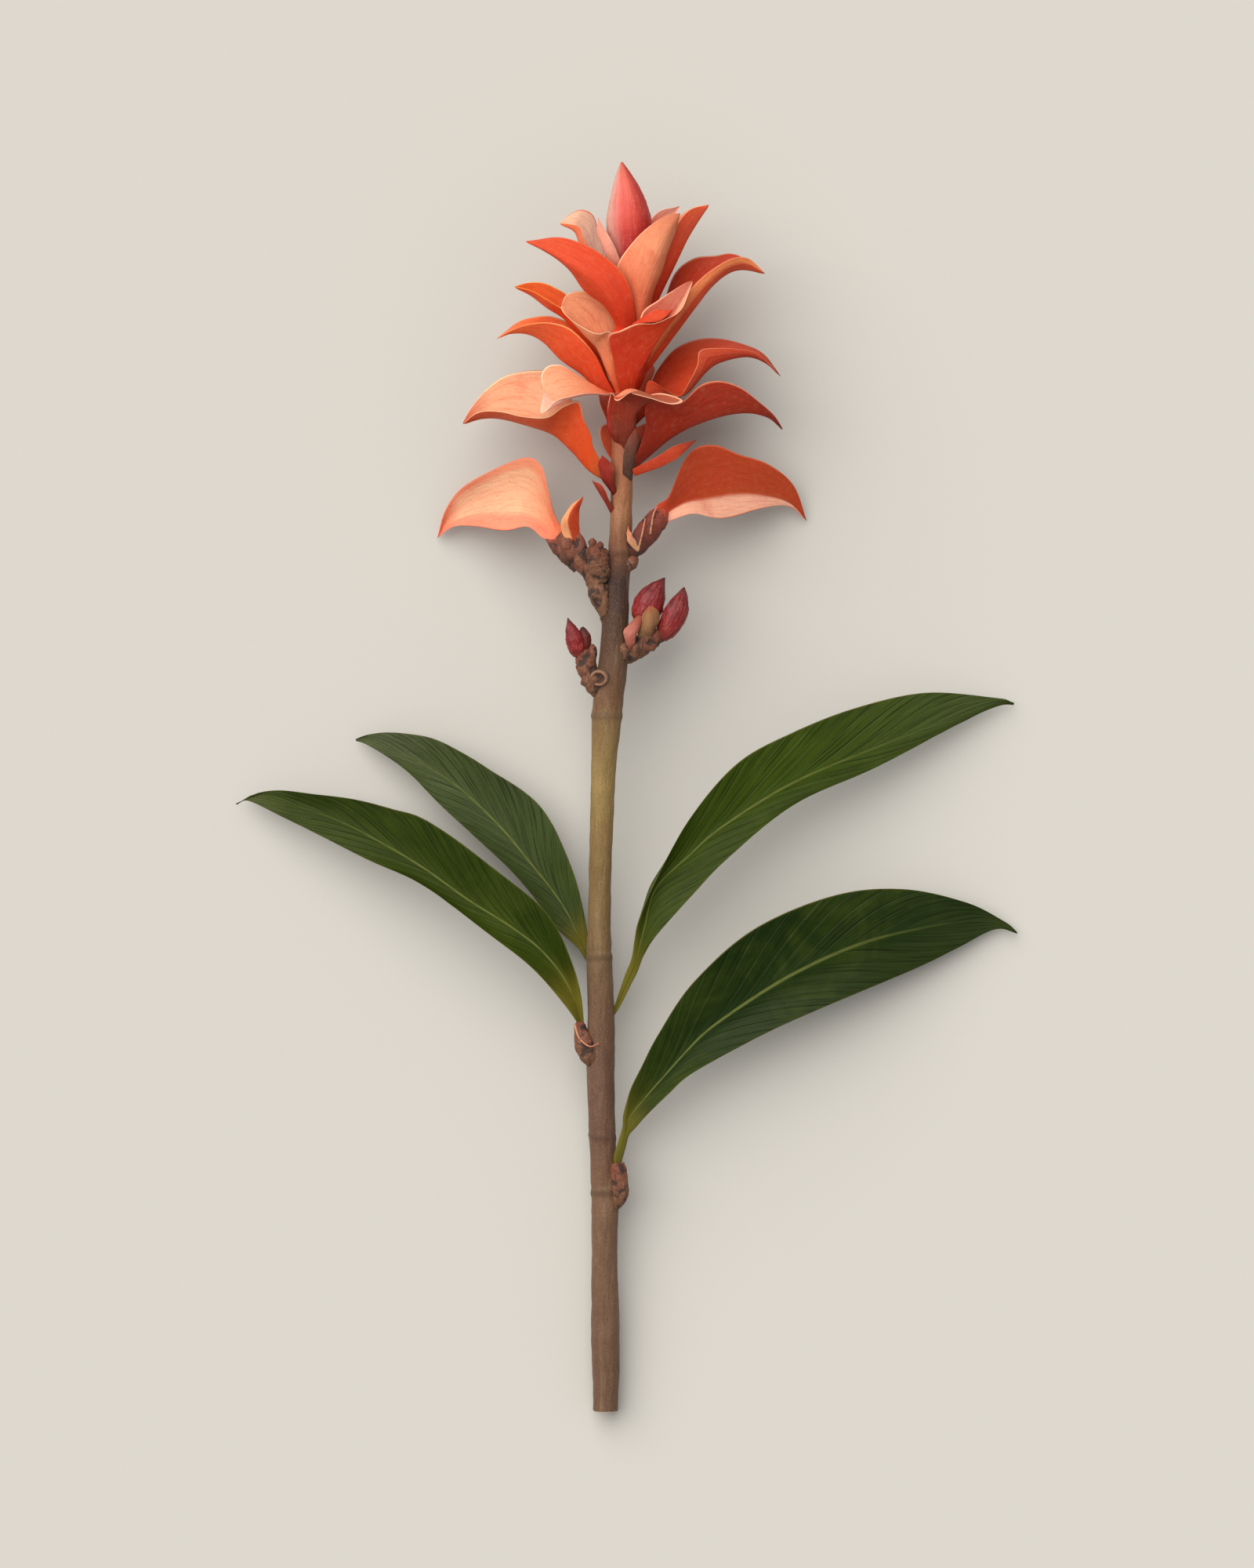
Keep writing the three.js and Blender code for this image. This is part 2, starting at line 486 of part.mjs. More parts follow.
function headMiddleTiers() {
  bract('bract_left_3', 'bract_coral', {
    seat: [484, 180, -40],
    keel: [[-7.5, 491.5, 0], [-14, 498, 0], [-24, 505, 0], [-32, 513.2, 0], [-39.5, 517.4, 0],
      [-48.6, 517.9, 0]],
    near: [[-2.6, 495.7, 8.5], [-8.7, 507.4, 12], [-19.2, 518, 13], [-30, 522, 11], [-40, 521.4, 6.5],
      [-48, 518.8, 2.5]],
    far: [[-1.6, 497, -8.5], [-7, 511, -12.5], [-17, 521.6, -15], [-28, 526.6, -15], [-36.9, 526, -11],
      [-46, 523, -6]],
    tip: [-55.5, 515.1, 0],
    round: 0.3,
    along: 11,
    across: 10,
  });
  bract('bract_right_3', 'bract_dark', {
    seat: [474, 8, 38],
    keel: [[20, 482, 4.8], [29, 485.2, 4.6], [38, 492, 4.8], [45, 499, 5.4], [52.1, 503.6, 6],
      [64.9, 506.4, 4],
      [74.5, 503.4, 2]],
    near: [[15.4, 486.2, 8.4], [18.2, 494.2, 10.8], [25.4, 490, 14], [32.6, 486.2, 16], [37.2, 493, 15],
      [41.4, 501.6, 13], [42.6, 508.4, 11.4], [50, 509.8, 10], [60, 509.6, 7.5], [70, 507.6, 5]],
    far: [[17, 489, -8], [22.5, 501, -13], [30.5, 511, -16], [42, 515.8, -16], [53.4, 516.2, -13],
      [64, 513, -9], [73.4, 507.6, -4.6]],
    tip: [81.6, 496.9, 0],
    round: 0.3,
    along: 14,
    across: 10,
  });
  bract('bract_right_2', 'bract_dark', {
    seat: [494, 5, 35],
    keel: [[20.8, 504.4, 3], [30.6, 517.4, 4], [39.7, 529.8, 5], [47.4, 539.6, 5], [56.1, 546.4, 5],
      [64, 548.2, 4]],
    near: [[16.6, 506, 8], [25, 519, 11], [34, 530.5, 12.5], [41, 539.6, 13], [50, 547.6, 12],
      [58, 552.6, 9.5],
      [66, 552.8, 6]],
    far: [[17, 508, -8], [24, 528, -13], [30.5, 546, -14], [39.5, 554.2, -13], [49.7, 555.4, -9],
      [60, 555.2, -3]],
    tip: [74, 546.2, 3],
    round: 0.45,
    along: 11,
    across: 10,
  });
  bract('bract_left_2', 'bract_coral', {
    seat: [500, 192, -35],
    keel: [[-11, 512.6, -8], [-22, 525.4, -13.4], [-31, 531.6, -15], [-39, 537.6, -15.5]],
    near: [[-8, 515, -2], [-19, 525.4, -4], [-27.4, 531.6, -6.4], [-36, 537, -9], [-43, 539.8, -11.4]],
    far: [[-9, 521, -15], [-20, 536, -20], [-28, 541, -20], [-34, 543.2, -19], [-40.6, 543.2, -16.4]],
    tip: [-47, 541.2, -13],
    round: 0.5,
    along: 9,
    across: 8,
  });
  bract('bract_cup_left', 'bract_coral', {
    seat: [487.5, 135, -32],
    keel: [[-2.4, 500, 7.6], [-6.4, 509.6, 8.4], [-12, 517.6, 9.4], [-18, 525.4, 10.6]],
    near: [[1.8, 499, 10], [-0.4, 508.4, 14.4], [-3.4, 513.6, 17.6], [-8, 513, 19], [-13, 514.6, 18.8],
      [-19.4, 519.6, 17]],
    far: [[-2, 503, 3.6], [0.6, 513, 3.2], [1.4, 523, 4], [-5, 532.4, 5.4], [-13, 536.6, 6.6],
      [-20.6, 535.2, 8.6]],
    tip: [-24.2, 530, 12],
    round: 0.8,
    along: 10,
    across: 8,
  });
  bract('bract_cup_right', 'bract_coral', {
    seat: [485.5, 65, 46],
    keel: [[12, 497, 12.5], [18.4, 508, 17.5], [27, 520, 21.5], [33.6, 530, 21]],
    near: [[2.6, 494.5, 9.5], [0.8, 504.5, 15], [-1.4, 514.4, 20.6], [5, 517, 24.4], [13, 519.9, 27.4],
      [21, 520.4, 28], [27.4, 523, 27], [32, 525.2, 25.6], [35.6, 530, 23]],
    far: [[16.8, 497, 8], [17.4, 509, 12.6], [14.4, 517.4, 18.8], [15.6, 526.4, 20.4], [22.4, 532, 20],
      [29.6, 537.2, 18.4], [35.4, 540.8, 17.4]],
    tip: [38.8, 541.8, 17],
    round: 0.45,
    along: 12,
    across: 10,
  });
}

function headTop() {
  bract('bract_front_left', 'bract_coral', {
    seat: [502, 122, 40],
    keel: [[4.6, 513, 11], [6, 520.6, 15], [2.4, 529, 20], [-5.4, 539, 24], [-17, 548, 25],
      [-30, 556, 21.5]],
    near: [[-0.6, 515, 8.6], [1.6, 520.6, 11], [-4.4, 529.6, 15], [-13.4, 536.4, 16.5], [-20.6, 545.6, 17],
      [-26.4, 551.8, 16.4], [-33.4, 556.8, 15.5]],
    far: [[9, 513, 9.5], [11.6, 523, 14], [9.8, 536, 19], [4.4, 546.8, 20], [-5, 555, 18.6],
      [-15.6, 560, 16.6],
      [-27, 562.8, 15]],
    tip: [-41.3, 560.9, 15],
    round: 0.5,
    along: 12,
    across: 10,
  });
  bract('bract_front_right', 'bract_coral', {
    seat: [512, 62, 40],
    keel: [[13, 524, 12], [14.6, 534, 15], [18, 546, 18.5], [22.5, 557, 19.5], [27.5, 567, 18.5]],
    near: [[7.8, 525, 9], [5, 536, 12], [2.6, 548, 13.4], [8, 557.6, 15], [16, 566.6, 16],
      [25, 572.4, 15.6]],
    far: [[18, 524, 8.6], [22, 536, 10.6], [26.6, 547, 13.5], [29.4, 559, 15.2], [31.8, 568, 15.6]],
    tip: [33.2, 574, 15.5],
    round: 0.7,
    along: 10,
    across: 8,
  });
  bract('bract_right_1', 'bract_dark', {
    seat: [516, -10, 42],
    keel: [[19, 527, -1], [25, 539.6, -1], [31.4, 552.8, 0], [36.4, 563, 1], [41.6, 571.6, 2]],
    near: [[15, 530, 6], [18.6, 541, 8.6], [23.6, 553, 10.6], [30, 566, 10.6], [37, 575.8, 7.6]],
    far: [[14, 532, -9], [18, 545, -13], [24, 560, -13], [32, 572.6, -9], [39, 577.6, -3]],
    tip: [46.9, 579.4, 3],
    round: 0.45,
    along: 10,
    across: 8,
  });
  bract('bract_back_right', 'bract_coral', {
    seat: [532, -62, 40],
    keel: [[16, 548, -13], [21, 561, -18], [27, 573, -20]],
    near: [[17, 551, -8.5], [24, 563, -14.6], [30.5, 574.6, -16.5]],
    far: [[9, 551, -13], [14, 565, -18], [22, 577, -19]],
    tip: [33, 580.8, -19],
    round: 0.7,
    along: 8,
    across: 8,
  });
  bract('bract_left_1', 'bract_coral', {
    seat: [524, 184, -42],
    keel: [[-5.5, 541, 0], [-11, 552, -1], [-15.4, 562, -1], [-18, 567.4, 0]],
    near: [[-3.5, 543, 6], [-8.8, 553, 8], [-13.4, 561.6, 7], [-16, 567.8, 4]],
    far: [[-2, 547, -9], [-5, 562, -13], [-8.4, 574, -12], [-14.6, 577.2, -8], [-20.6, 574.6, -4]],
    tip: [-25, 570.6, 0],
    round: 0.5,
    along: 10,
    across: 8,
  });
  bract('bract_inner_left', 'bract_coral', {
    seat: [536, 135, 42],
    keel: [[2.6, 547, 8.2], [-1.6, 556, 10.4], [-4.8, 565, 9]],
    near: [[-1, 548, 5.4], [-4.4, 556, 7.4], [-7, 566, 6.4]],
    far: [[6, 547, 9], [3.4, 555, 11.4], [-1, 563.6, 11]],
    tip: [-6.4, 573, 5],
    round: 0.8,
    along: 8,
    across: 6,
  });
  stalk('centre_bud', 'bud_pink', {
    spine: [[9, 544.4, 0], [9.2, 557, 0], [8.6, 568.7, 0], [7.4, 583, 0], [5.9, 593, 0], [4.9, 600, 0]],
    radii: [[0, 5.2], [0.1, 8.2], [0.22, 10.2], [0.42, 11.1], [0.52, 10.8], [0.66, 8.9], [0.8, 6.1],
      [0.9, 3.6],
      [0.97, 1.5], [1, 0.5]],
    around: 16,
    along: 13,
  });
}

// ---- Bracts on the back of the head --------------------------------------------------------------------
// Alike but for where they sit: height, azimuth, reach from the axis, rise, half width.
const BACK_BRACTS = [
  [520, 274, 33, 27, 7.5],
  [511, 236, 34, 26, 9.5],
  [501, 278, 40, 26, 11.5],
  [489, 261, 42, 25, 8],
  [477, 281, 44, 25, 11.5],
  [465, 261, 46, 24, 9.5],
  [452, 274, 44, 22, 13],
];

function backBract(name, [height, azimuth, reach, rise, halfWidth]) {
  const angle = THREE.MathUtils.degToRad(azimuth);
  const centre = stemCentre(height);
  // out: from the axis; up: above the seat; aside: along the side that is near for a foot
  const at = (out, up, aside) => [
    centre + Math.cos(angle) * out - Math.sin(angle) * aside,
    height + up,
    Math.sin(angle) * out + Math.cos(angle) * aside,
  ];
  bract(name, 'bract_coral', {
    seat: [height, azimuth, 36],
    keel: [
      at(reach * 0.33, rise * 0.36, 0),
      at(reach * 0.58, rise * 0.72, 0),
      at(reach * 0.82, rise * 0.95, 0),
    ],
    near: [
      at(reach * 0.25, rise * 0.5, halfWidth * 0.75),
      at(reach * 0.45, rise * 0.9, halfWidth),
      at(reach * 0.74, rise * 1.08, halfWidth * 0.7),
    ],
    far: [
      at(reach * 0.25, rise * 0.5, -halfWidth * 0.75),
      at(reach * 0.45, rise * 0.9, -halfWidth),
      at(reach * 0.74, rise * 1.08, -halfWidth * 0.7),
    ],
    tip: at(reach, rise * 0.94, 0),
    round: 0.5,
    along: 8,
    across: 8,
  });
}

function backOfHead() {
  BACK_BRACTS.forEach((row, i) => backBract(`bract_back_${i + 1}`, row));
}

// ---- Small scales below the head -----------------------------------------------------------------------
function scales() {
  bract('scale_left_upper', 'bract_dark', {
    seat: [440, 140, -24],
    keel: [[-1.4, 447, 7.5], [-2.8, 454, 8]],
    near: [[1.2, 447, 8.4], [0.8, 454, 8.6]],
    far: [[-4.6, 447, 4.6], [-6.4, 454, 5]],
    tip: [-4.6, 459, 7],
    along: 7,
    across: 6,
  });
  bract('scale_left_lower', 'bract_dark', {
    seat: [431.5, 165, -34],
    keel: [[-3.4, 437.6, 3], [-6, 442, 4]],
    near: [[-1.4, 438, 6.4], [-3.6, 443.6, 7]],
    far: [[-3.6, 439, -1], [-6.8, 443.6, 1]],
    tip: [-9.3, 447.2, 4],
    along: 6,
    across: 6,
  });
}

mainStem();
leaves();
joints();
lowerBracts();
headLowerTiers();
headMiddleTiers();
headTop();
backOfHead();
scales();

// ---- Lay the plant on its back: cut end and back of the head on the ground, footprint centred ---------
const incline = Math.asin((REST_DEPTH - STEM_DIAMETER / 2) / ((REST_HEIGHT * PLANT_LENGTH) / DRAWN_LENGTH));
plant.rotation.x = incline;
plant.updateMatrixWorld(true);
const box = new THREE.Box3().setFromObject(plant, true);
plant.position.set(-(box.min.x + box.max.x) / 2, -(box.min.y + box.max.y) / 2, -box.min.z);

export default group;
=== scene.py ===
"""Cut stem of an ornamental ginger, laid on its back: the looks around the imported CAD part.

Every piece is drawn in the plant's own frame, in millimetres: x across, y up the stem from the cut end and
z towards the side that faces up. TO_ROW carries it to the row frame, in metres.
"""
import math

import bpy
import numpy as np
from mathutils import Matrix, Vector, noise


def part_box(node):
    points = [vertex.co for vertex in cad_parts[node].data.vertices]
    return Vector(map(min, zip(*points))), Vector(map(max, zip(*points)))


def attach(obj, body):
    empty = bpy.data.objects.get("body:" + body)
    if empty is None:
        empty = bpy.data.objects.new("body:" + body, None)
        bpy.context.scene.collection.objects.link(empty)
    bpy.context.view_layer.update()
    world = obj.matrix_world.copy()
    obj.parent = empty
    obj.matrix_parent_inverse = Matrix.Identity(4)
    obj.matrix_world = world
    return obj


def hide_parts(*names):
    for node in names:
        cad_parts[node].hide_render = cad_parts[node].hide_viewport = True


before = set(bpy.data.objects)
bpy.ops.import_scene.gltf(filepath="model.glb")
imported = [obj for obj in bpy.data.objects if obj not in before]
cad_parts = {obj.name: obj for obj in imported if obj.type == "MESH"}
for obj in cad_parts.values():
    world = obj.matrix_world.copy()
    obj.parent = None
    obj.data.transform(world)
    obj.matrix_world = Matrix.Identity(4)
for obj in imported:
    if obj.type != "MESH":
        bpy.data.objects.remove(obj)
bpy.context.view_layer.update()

MM = 0.001

# ---- Sizes shared with the CAD part -------------------------------------------------------------------
BRACT_THICKNESS = 1.0
LEAF_THICKNESS = 0.9
ROOTED = 0.6  # how far the foot of a bract goes into the stem, where the CAD part leaves a gap
REST_DEPTH = 42
REST_HEIGHT = 470
CUT_RADIUS = 6

# Stem: height, x of the centre, radius.
STEM = np.array([
    (0, -2.6, 6.0), (12, -2.7, 6.2), (28, -2.8, 6.8), (43, -3.0, 6.9), (58, -3.2, 6.3), (75, -3.4, 6.0),
    (92, -3.1, 6.5), (100, -3.0, 6.9), (105, -3.0, 6.6), (118, -3.8, 6.2), (132, -4.5, 6.4), (150, -4.8, 6.4),
    (161, -5.0, 6.6), (168, -5.6, 7.2), (174, -5.2, 6.8), (188, -4.7, 6.5), (206, -5.4, 6.1), (217, -5.9, 6.5),
    (221, -5.9, 5.8), (240, -5.8, 5.3), (264, -5.3, 5.4), (301, -4.1, 5.8), (322, -2.9, 6.1), (332, -2.3, 7.7),
    (338, -2.0, 7.2), (350, -0.5, 7.4), (363, 1.3, 6.9), (377, 1.9, 6.4), (392, 2.3, 5.8), (405, 3.6, 5.5),
    (412, 4.3, 6.1), (418, 4.5, 5.4), (433, 4.7, 5.1), (452, 5.0, 5.4), (466, 5.8, 5.6), (485, 6.8, 5.2),
    (510, 7.9, 4.8), (544, 8.8, 4.0),
])

# ---- Where the plant lies -----------------------------------------------------------------------------
INCLINE = math.asin((REST_DEPTH - CUT_RADIUS) / REST_HEIGHT)


def laid_at():
    """The plant's place in the row frame: turned by INCLINE, and moved so that the stem meets its CAD node."""
    turn = Matrix.Rotation(INCLINE, 4, "X")
    low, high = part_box("main_stem")
    rings = np.array([
        turn @ Vector((x + radius * math.sin(a), height, radius * math.cos(a)))
        for height, x, radius in STEM
        for a in np.arange(14) * math.tau / 14
    ]) * MM
    shift = (Vector(low) + Vector(high)) / 2 - Vector((rings.min(0) + rings.max(0)) / 2)
    return Matrix.Translation(shift) @ turn @ Matrix.Scale(MM, 4)


TO_ROW = laid_at()


# ---- Camera -------------------------------------------------------------------------------------------
LENS = 150
SENSOR = 36
VIEW_HEIGHT = 753.3  # of the whole picture at the stem's depth
VIEW_CENTRE = (7.5, 301.3, 0)


def add_camera():
    data = bpy.data.cameras.new("camera")
    data.lens = LENS
    data.sensor_width = SENSOR
    data.clip_start = 0.05
    data.clip_end = 50
    camera = bpy.data.objects.new("camera", data)
    bpy.context.scene.collection.objects.link(camera)
    distance = VIEW_HEIGHT / 2 / (SENSOR / 2 / LENS)
    x, y, z = VIEW_CENTRE
    place = TO_ROW @ Vector((x, y, z + distance))
    camera.matrix_world = Matrix.Translation(place) @ Matrix.Rotation(INCLINE, 4, "X")
    bpy.context.scene.camera = camera


# ---- Light and floor ----------------------------------------------------------------------------------
KEY_FROM = (-0.5, 0.6, 1.0)  # direction towards the key light
KEY_POWER = 3.7
KEY_SPREAD = 75  # degrees across: the wider, the softer its shadows
AMBIENT = 0.56
FLOOR = (186, 182, 174)
FLOOR_SIZE = 12
FLOOR_GAP = 0.0005  # below the part, so that what rests on the floor stays clear of it


def add_lights():
    data = bpy.data.lights.new("key", "SUN")
    data.energy = KEY_POWER
    data.angle = math.radians(KEY_SPREAD)
    data.color = (1.0, 0.975, 0.94)
    key = bpy.data.objects.new("key", data)
    key.rotation_euler = Vector(KEY_FROM).to_track_quat("Z", "Y").to_euler()
    bpy.context.scene.collection.objects.link(key)
    world = bpy.data.worlds.new("studio")
    world.use_nodes = True
    background = world.node_tree.nodes["Background"]
    background.inputs["Color"].default_value = (0.96, 0.98, 1.0, 1)
    background.inputs["Strength"].default_value = AMBIENT
    bpy.context.scene.world = world


# ---- Material building --------------------------------------------------------------------------------
def rgb(red, green, blue):
    """A linear colour from 0-255 display values."""
    def linear(c):
        c /= 255
        return c / 12.92 if c <= 0.04045 else ((c + 0.055) / 1.055) ** 2.4
    return (linear(red), linear(green), linear(blue), 1)


class Look:
    """A material under construction: its methods add nodes, and colour is the surface so far."""

    def __init__(self, name):
        self.material = bpy.data.materials.new(name)
        self.material.use_nodes = True
        self.tree = self.material.node_tree
        self.shader = self.tree.nodes["Principled BSDF"]
        self.colour = None

    def put(self, socket, value):
        if isinstance(value, bpy.types.NodeSocket):
            self.tree.links.new(value, socket)
        else:
            socket.default_value = value

    def math(self, operation, *values):
        node = self.tree.nodes.new("ShaderNodeMath")
        node.operation = operation
        for socket, value in zip(node.inputs, values):
            self.put(socket, value)
        return node.outputs[0]

    def times(self, a, b):
        return self.math("MULTIPLY", a, b)

    def plus(self, a, b):
        return self.math("ADD", a, b)

    def minus(self, a, b):
        return self.math("SUBTRACT", a, b)

    def step(self, value, low, high, to=1.0):
        """0 below low, `to` above high, smooth between; low may be above high."""
        node = self.tree.nodes.new("ShaderNodeMapRange")
        node.interpolation_type = "SMOOTHSTEP"
        turned = low > high
        self.put(node.inputs["Value"], value)
        node.inputs["From Min"].default_value = min(low, high)
        node.inputs["From Max"].default_value = max(low, high)
        node.inputs["To Min"].default_value = to if turned else 0
        node.inputs["To Max"].default_value = 0 if turned else to
        return node.outputs["Result"]

    def ramp(self, value, stops):
        """A colour that runs through stops, each (place from 0 to 1, display colour)."""
        node = self.tree.nodes.new("ShaderNodeValToRGB")
        self.put(node.inputs["Fac"], value)
        elements = node.color_ramp.elements
        node.color_ramp.interpolation = "EASE" if len(stops) < 3 else "LINEAR"
        for k, (place, colour) in enumerate(stops):
            element = elements[k] if k < 2 else elements.new(place)
            element.position = place
            element.color = rgb(*colour)
        return node.outputs["Color"]

    def mix(self, share, a, b):
        """Colour a where share is 0, b where it is 1."""
        node = self.tree.nodes.new("ShaderNodeMix")
        node.data_type = "RGBA"
        self.put(node.inputs["Factor"], share)
        first, second = node.inputs[6:8]  # the node's colour sockets, among those for other kinds of value
        self.put(first, a)
        self.put(second, b)
        return node.outputs[2]

    def tint(self, share, colour, strength=1):
        """Lays a display colour of this strength over the surface, where share says."""
        over = rgb(*colour)
        if strength < 1:
            over = self.mix(strength, self.colour, over)
        self.colour = self.mix(share, self.colour, over)

    def tint_margins(self, v, near, far, fade):
        """near and far: (display colour, where it starts across, strength), or None."""
        for margin, way in ((near, -1), (far, 1)):
            if margin:
                colour, start, strength = margin
                self.tint(self.step(v, start, start + way * fade, strength), colour)

    def attribute(self, name):
        node = self.tree.nodes.new("ShaderNodeAttribute")
        node.attribute_name = name
        return node.outputs["Vector"]

    def split(self, vector):
        node = self.tree.nodes.new("ShaderNodeSeparateXYZ")
        self.put(node.inputs[0], vector)
        return node.outputs

    def join(self, x, y, z):
        node = self.tree.nodes.new("ShaderNodeCombineXYZ")
        for socket, value in zip(node.inputs, (x, y, z)):
            self.put(socket, value)
        return node.outputs[0]

    def place(self):
        return self.tree.nodes.new("ShaderNodeTexCoord").outputs["Object"]

    def noise(self, vector, scale, detail=3.0, rough=0.55, warp=0.0):
        node = self.tree.nodes.new("ShaderNodeTexNoise")
        self.put(node.inputs["Vector"], vector)
        node.inputs["Scale"].default_value = scale
        node.inputs["Detail"].default_value = detail
        node.inputs["Roughness"].default_value = rough
        node.inputs["Distortion"].default_value = warp
        return node.outputs["Fac"]

    def cells(self, vector, scale):
        """Distance to the middle of the nearest of many small cells."""
        node = self.tree.nodes.new("ShaderNodeTexVoronoi")
        self.put(node.inputs["Vector"], vector)
        node.inputs["Scale"].default_value = scale
        return node.outputs["Distance"]

    def bump(self, height, strength, distance, normal=None):
        node = self.tree.nodes.new("ShaderNodeBump")
        node.inputs["Strength"].default_value = strength
        node.inputs["Distance"].default_value = distance
        self.put(node.inputs["Height"], height)
        if normal is not None:
            self.put(node.inputs["Normal"], normal)
        return node.outputs["Normal"]

    def finish(self, roughness, normal, **fixed):
        self.put(self.shader.inputs["Base Color"], self.colour)
        self.put(self.shader.inputs["Roughness"], roughness)
        self.put(self.shader.inputs["Normal"], normal)
        for name, value in fixed.items():
            self.shader.inputs[name.replace("_", " ")].default_value = value
        return self.material


# ---- Finishes -----------------------------------------------------------------------------------------
# The meshes carry "blade". On leaves and bracts x is the share of the length from the foot, y runs from -1 at
# the near margin to 1 at the far one, and z is 1 on the inner face and 0 on the outer one. On what is round, y
# is the share of a turn and z is 1 on a cut face, below 0 in a hollow and at most 0.3 on a ridge.
PALE_FIBRE = (255, 190, 140)
PALE_FLECK = (255, 206, 160)
DARK_FLECK = (150, 30, 10)
DARK_GRAIN = (120, 40, 24)


def bract_finish(name, inner, outer, rim, flush=(196, 52, 40), near=None, far=None, streaks=0.3, freckle=0.25,
                 rim_width=0.05):
    """A fleshy bract: inner and outer are colours along its length, flush a redder tint in blotches and
    streaks. near and far tint the part next to that margin: (colour, where it starts across, strength)."""
    look = Look(name)
    t, v, face = look.split(look.attribute("blade"))
    edge = look.math("ABSOLUTE", v)
    body = look.place()
    look.colour = look.mix(look.step(face, 0.3, 0.7), look.ramp(t, outer), look.ramp(t, inner))
    look.tint_margins(v, near, far, 0.22)
    streak = look.noise(look.join(look.times(v, 9.0), look.times(t, 1.6), face), 2.2, 4)
    fibre = look.noise(look.join(look.times(v, 34.0), look.times(t, 3.2), face), 2.0, 3)
    blotch = look.noise(body, 70, 5, 0.65, 0.6)
    mottle = look.noise(body, 330, 4, 0.7, 0.4)
    sweep = look.minus(look.times(t, 9.0), look.times(edge, 5.0))
    vein = look.noise(look.join(sweep, look.times(edge, 1.2), face), 2.6, 5, 0.7, 0.5)
    grain = look.noise(body, 900, 2, 0.6)
    look.tint(look.step(streak, 0.48, 0.7, streaks), flush)
    look.tint(look.step(blotch, 0.5, 0.72, freckle), flush)
    look.tint(look.step(fibre, 0.45, 0.75, 0.3), PALE_FIBRE, 0.15)
    look.tint(look.step(vein, 0.5, 0.66, 0.35), flush, 0.45)
    look.tint(look.step(mottle, 0.5, 0.68, 0.4), PALE_FLECK, 0.12)
    look.tint(look.step(mottle, 0.48, 0.32, 0.4), DARK_FLECK, 0.3)
    darker = look.mix(0.25, look.colour, rgb(*DARK_GRAIN))
    look.colour = look.mix(look.step(grain, 0.35, 0.7, 0.22), darker, look.colour)
    at_rim = look.step(edge, 1 - rim_width, 1 - rim_width * 0.35, 0.85)
    look.tint(look.times(at_rim, look.step(t, 0.25, 0.5)), rim)
    height = look.plus(look.times(mottle, 0.7), look.times(fibre, 0.3))
    normal = look.bump(height, 0.45, 0.0005, look.bump(vein, 0.4, 0.0012))
    roughness = look.plus(look.step(blotch, 0.25, 0.75, 0.18), 0.38)
    return look.finish(roughness, normal, Subsurface_Weight=0.12, Subsurface_Radius=(1.0, 0.35, 0.2),
                       Subsurface_Scale=0.0012, Specular_IOR_Level=0.15)


LEAF_UNDERSIDE = (70, 82, 46)
LEAF_CLOUD = (72, 84, 24)
LEAF_FURROW = (14, 24, 2)
LEAF_VEIN = (84, 94, 44)
LEAF_GRAIN = (16, 22, 6)
LEAF_RIB = (104, 110, 52)
LEAF_FOOT = (104, 96, 30)
LEAF_MARGIN = (96, 88, 40)


def leaf_finish(name, blade_colours, near=None, far=None):
    """A glossy leaf: blade_colours run along its length; side veins leave the rib and curve to the tip."""
    look = Look(name)
    t, v, face = look.split(look.attribute("blade"))
    edge = look.math("ABSOLUTE", v)
    body = look.place()
    look.colour = look.mix(look.step(face, 0.3, 0.7), rgb(*LEAF_UNDERSIDE), look.ramp(t, blade_colours))
    look.tint_margins(v, near, far, 0.3)
    sweep = look.minus(look.times(t, SIDE_VEINS), look.times(look.math("POWER", edge, 0.8), VEIN_SWEEP))
    vein = look.step(look.math("ABSOLUTE", look.minus(look.math("FRACT", sweep), 0.5)), 0.06, 0.0)
    fine = look.noise(look.join(look.times(sweep, 3.0), look.times(edge, 0.8), face), 2.0, 3)
    cloud = look.noise(body, 26, 4, 0.6, 0.5)
    grain = look.noise(body, 1100, 2, 0.6)
    look.tint(look.step(cloud, 0.45, 0.7, 0.3), LEAF_CLOUD)
    look.tint(look.step(fine, 0.46, 0.66, 0.6), LEAF_FURROW)
    look.tint(look.times(vein, look.step(cloud, 0.4, 0.65, 0.26)), LEAF_VEIN)
    look.tint(look.step(grain, 0.5, 0.75, 0.25), LEAF_GRAIN)
    look.tint(look.times(look.step(edge, 0.045, 0.012, 0.75), look.step(t, 1.0, 0.4)), LEAF_RIB)
    look.tint(look.step(t, 0.17, 0.07, 0.9), LEAF_FOOT)
    look.tint(look.step(edge, 0.975, 0.995, 0.7), LEAF_MARGIN)
    height = look.minus(look.times(fine, 0.6), look.times(vein, 0.6))
    normal = look.bump(grain, 0.12, 0.0003, look.bump(height, 0.6, 0.0009))
    roughness = look.plus(look.step(cloud, 0.3, 0.75, 0.16), look.times(grain, 0.12))
    return look.finish(look.plus(roughness, 0.27), normal, Specular_IOR_Level=0.08)


FRESH_CUT = (196, 170, 126)
CUT_PORES = (120, 92, 60)


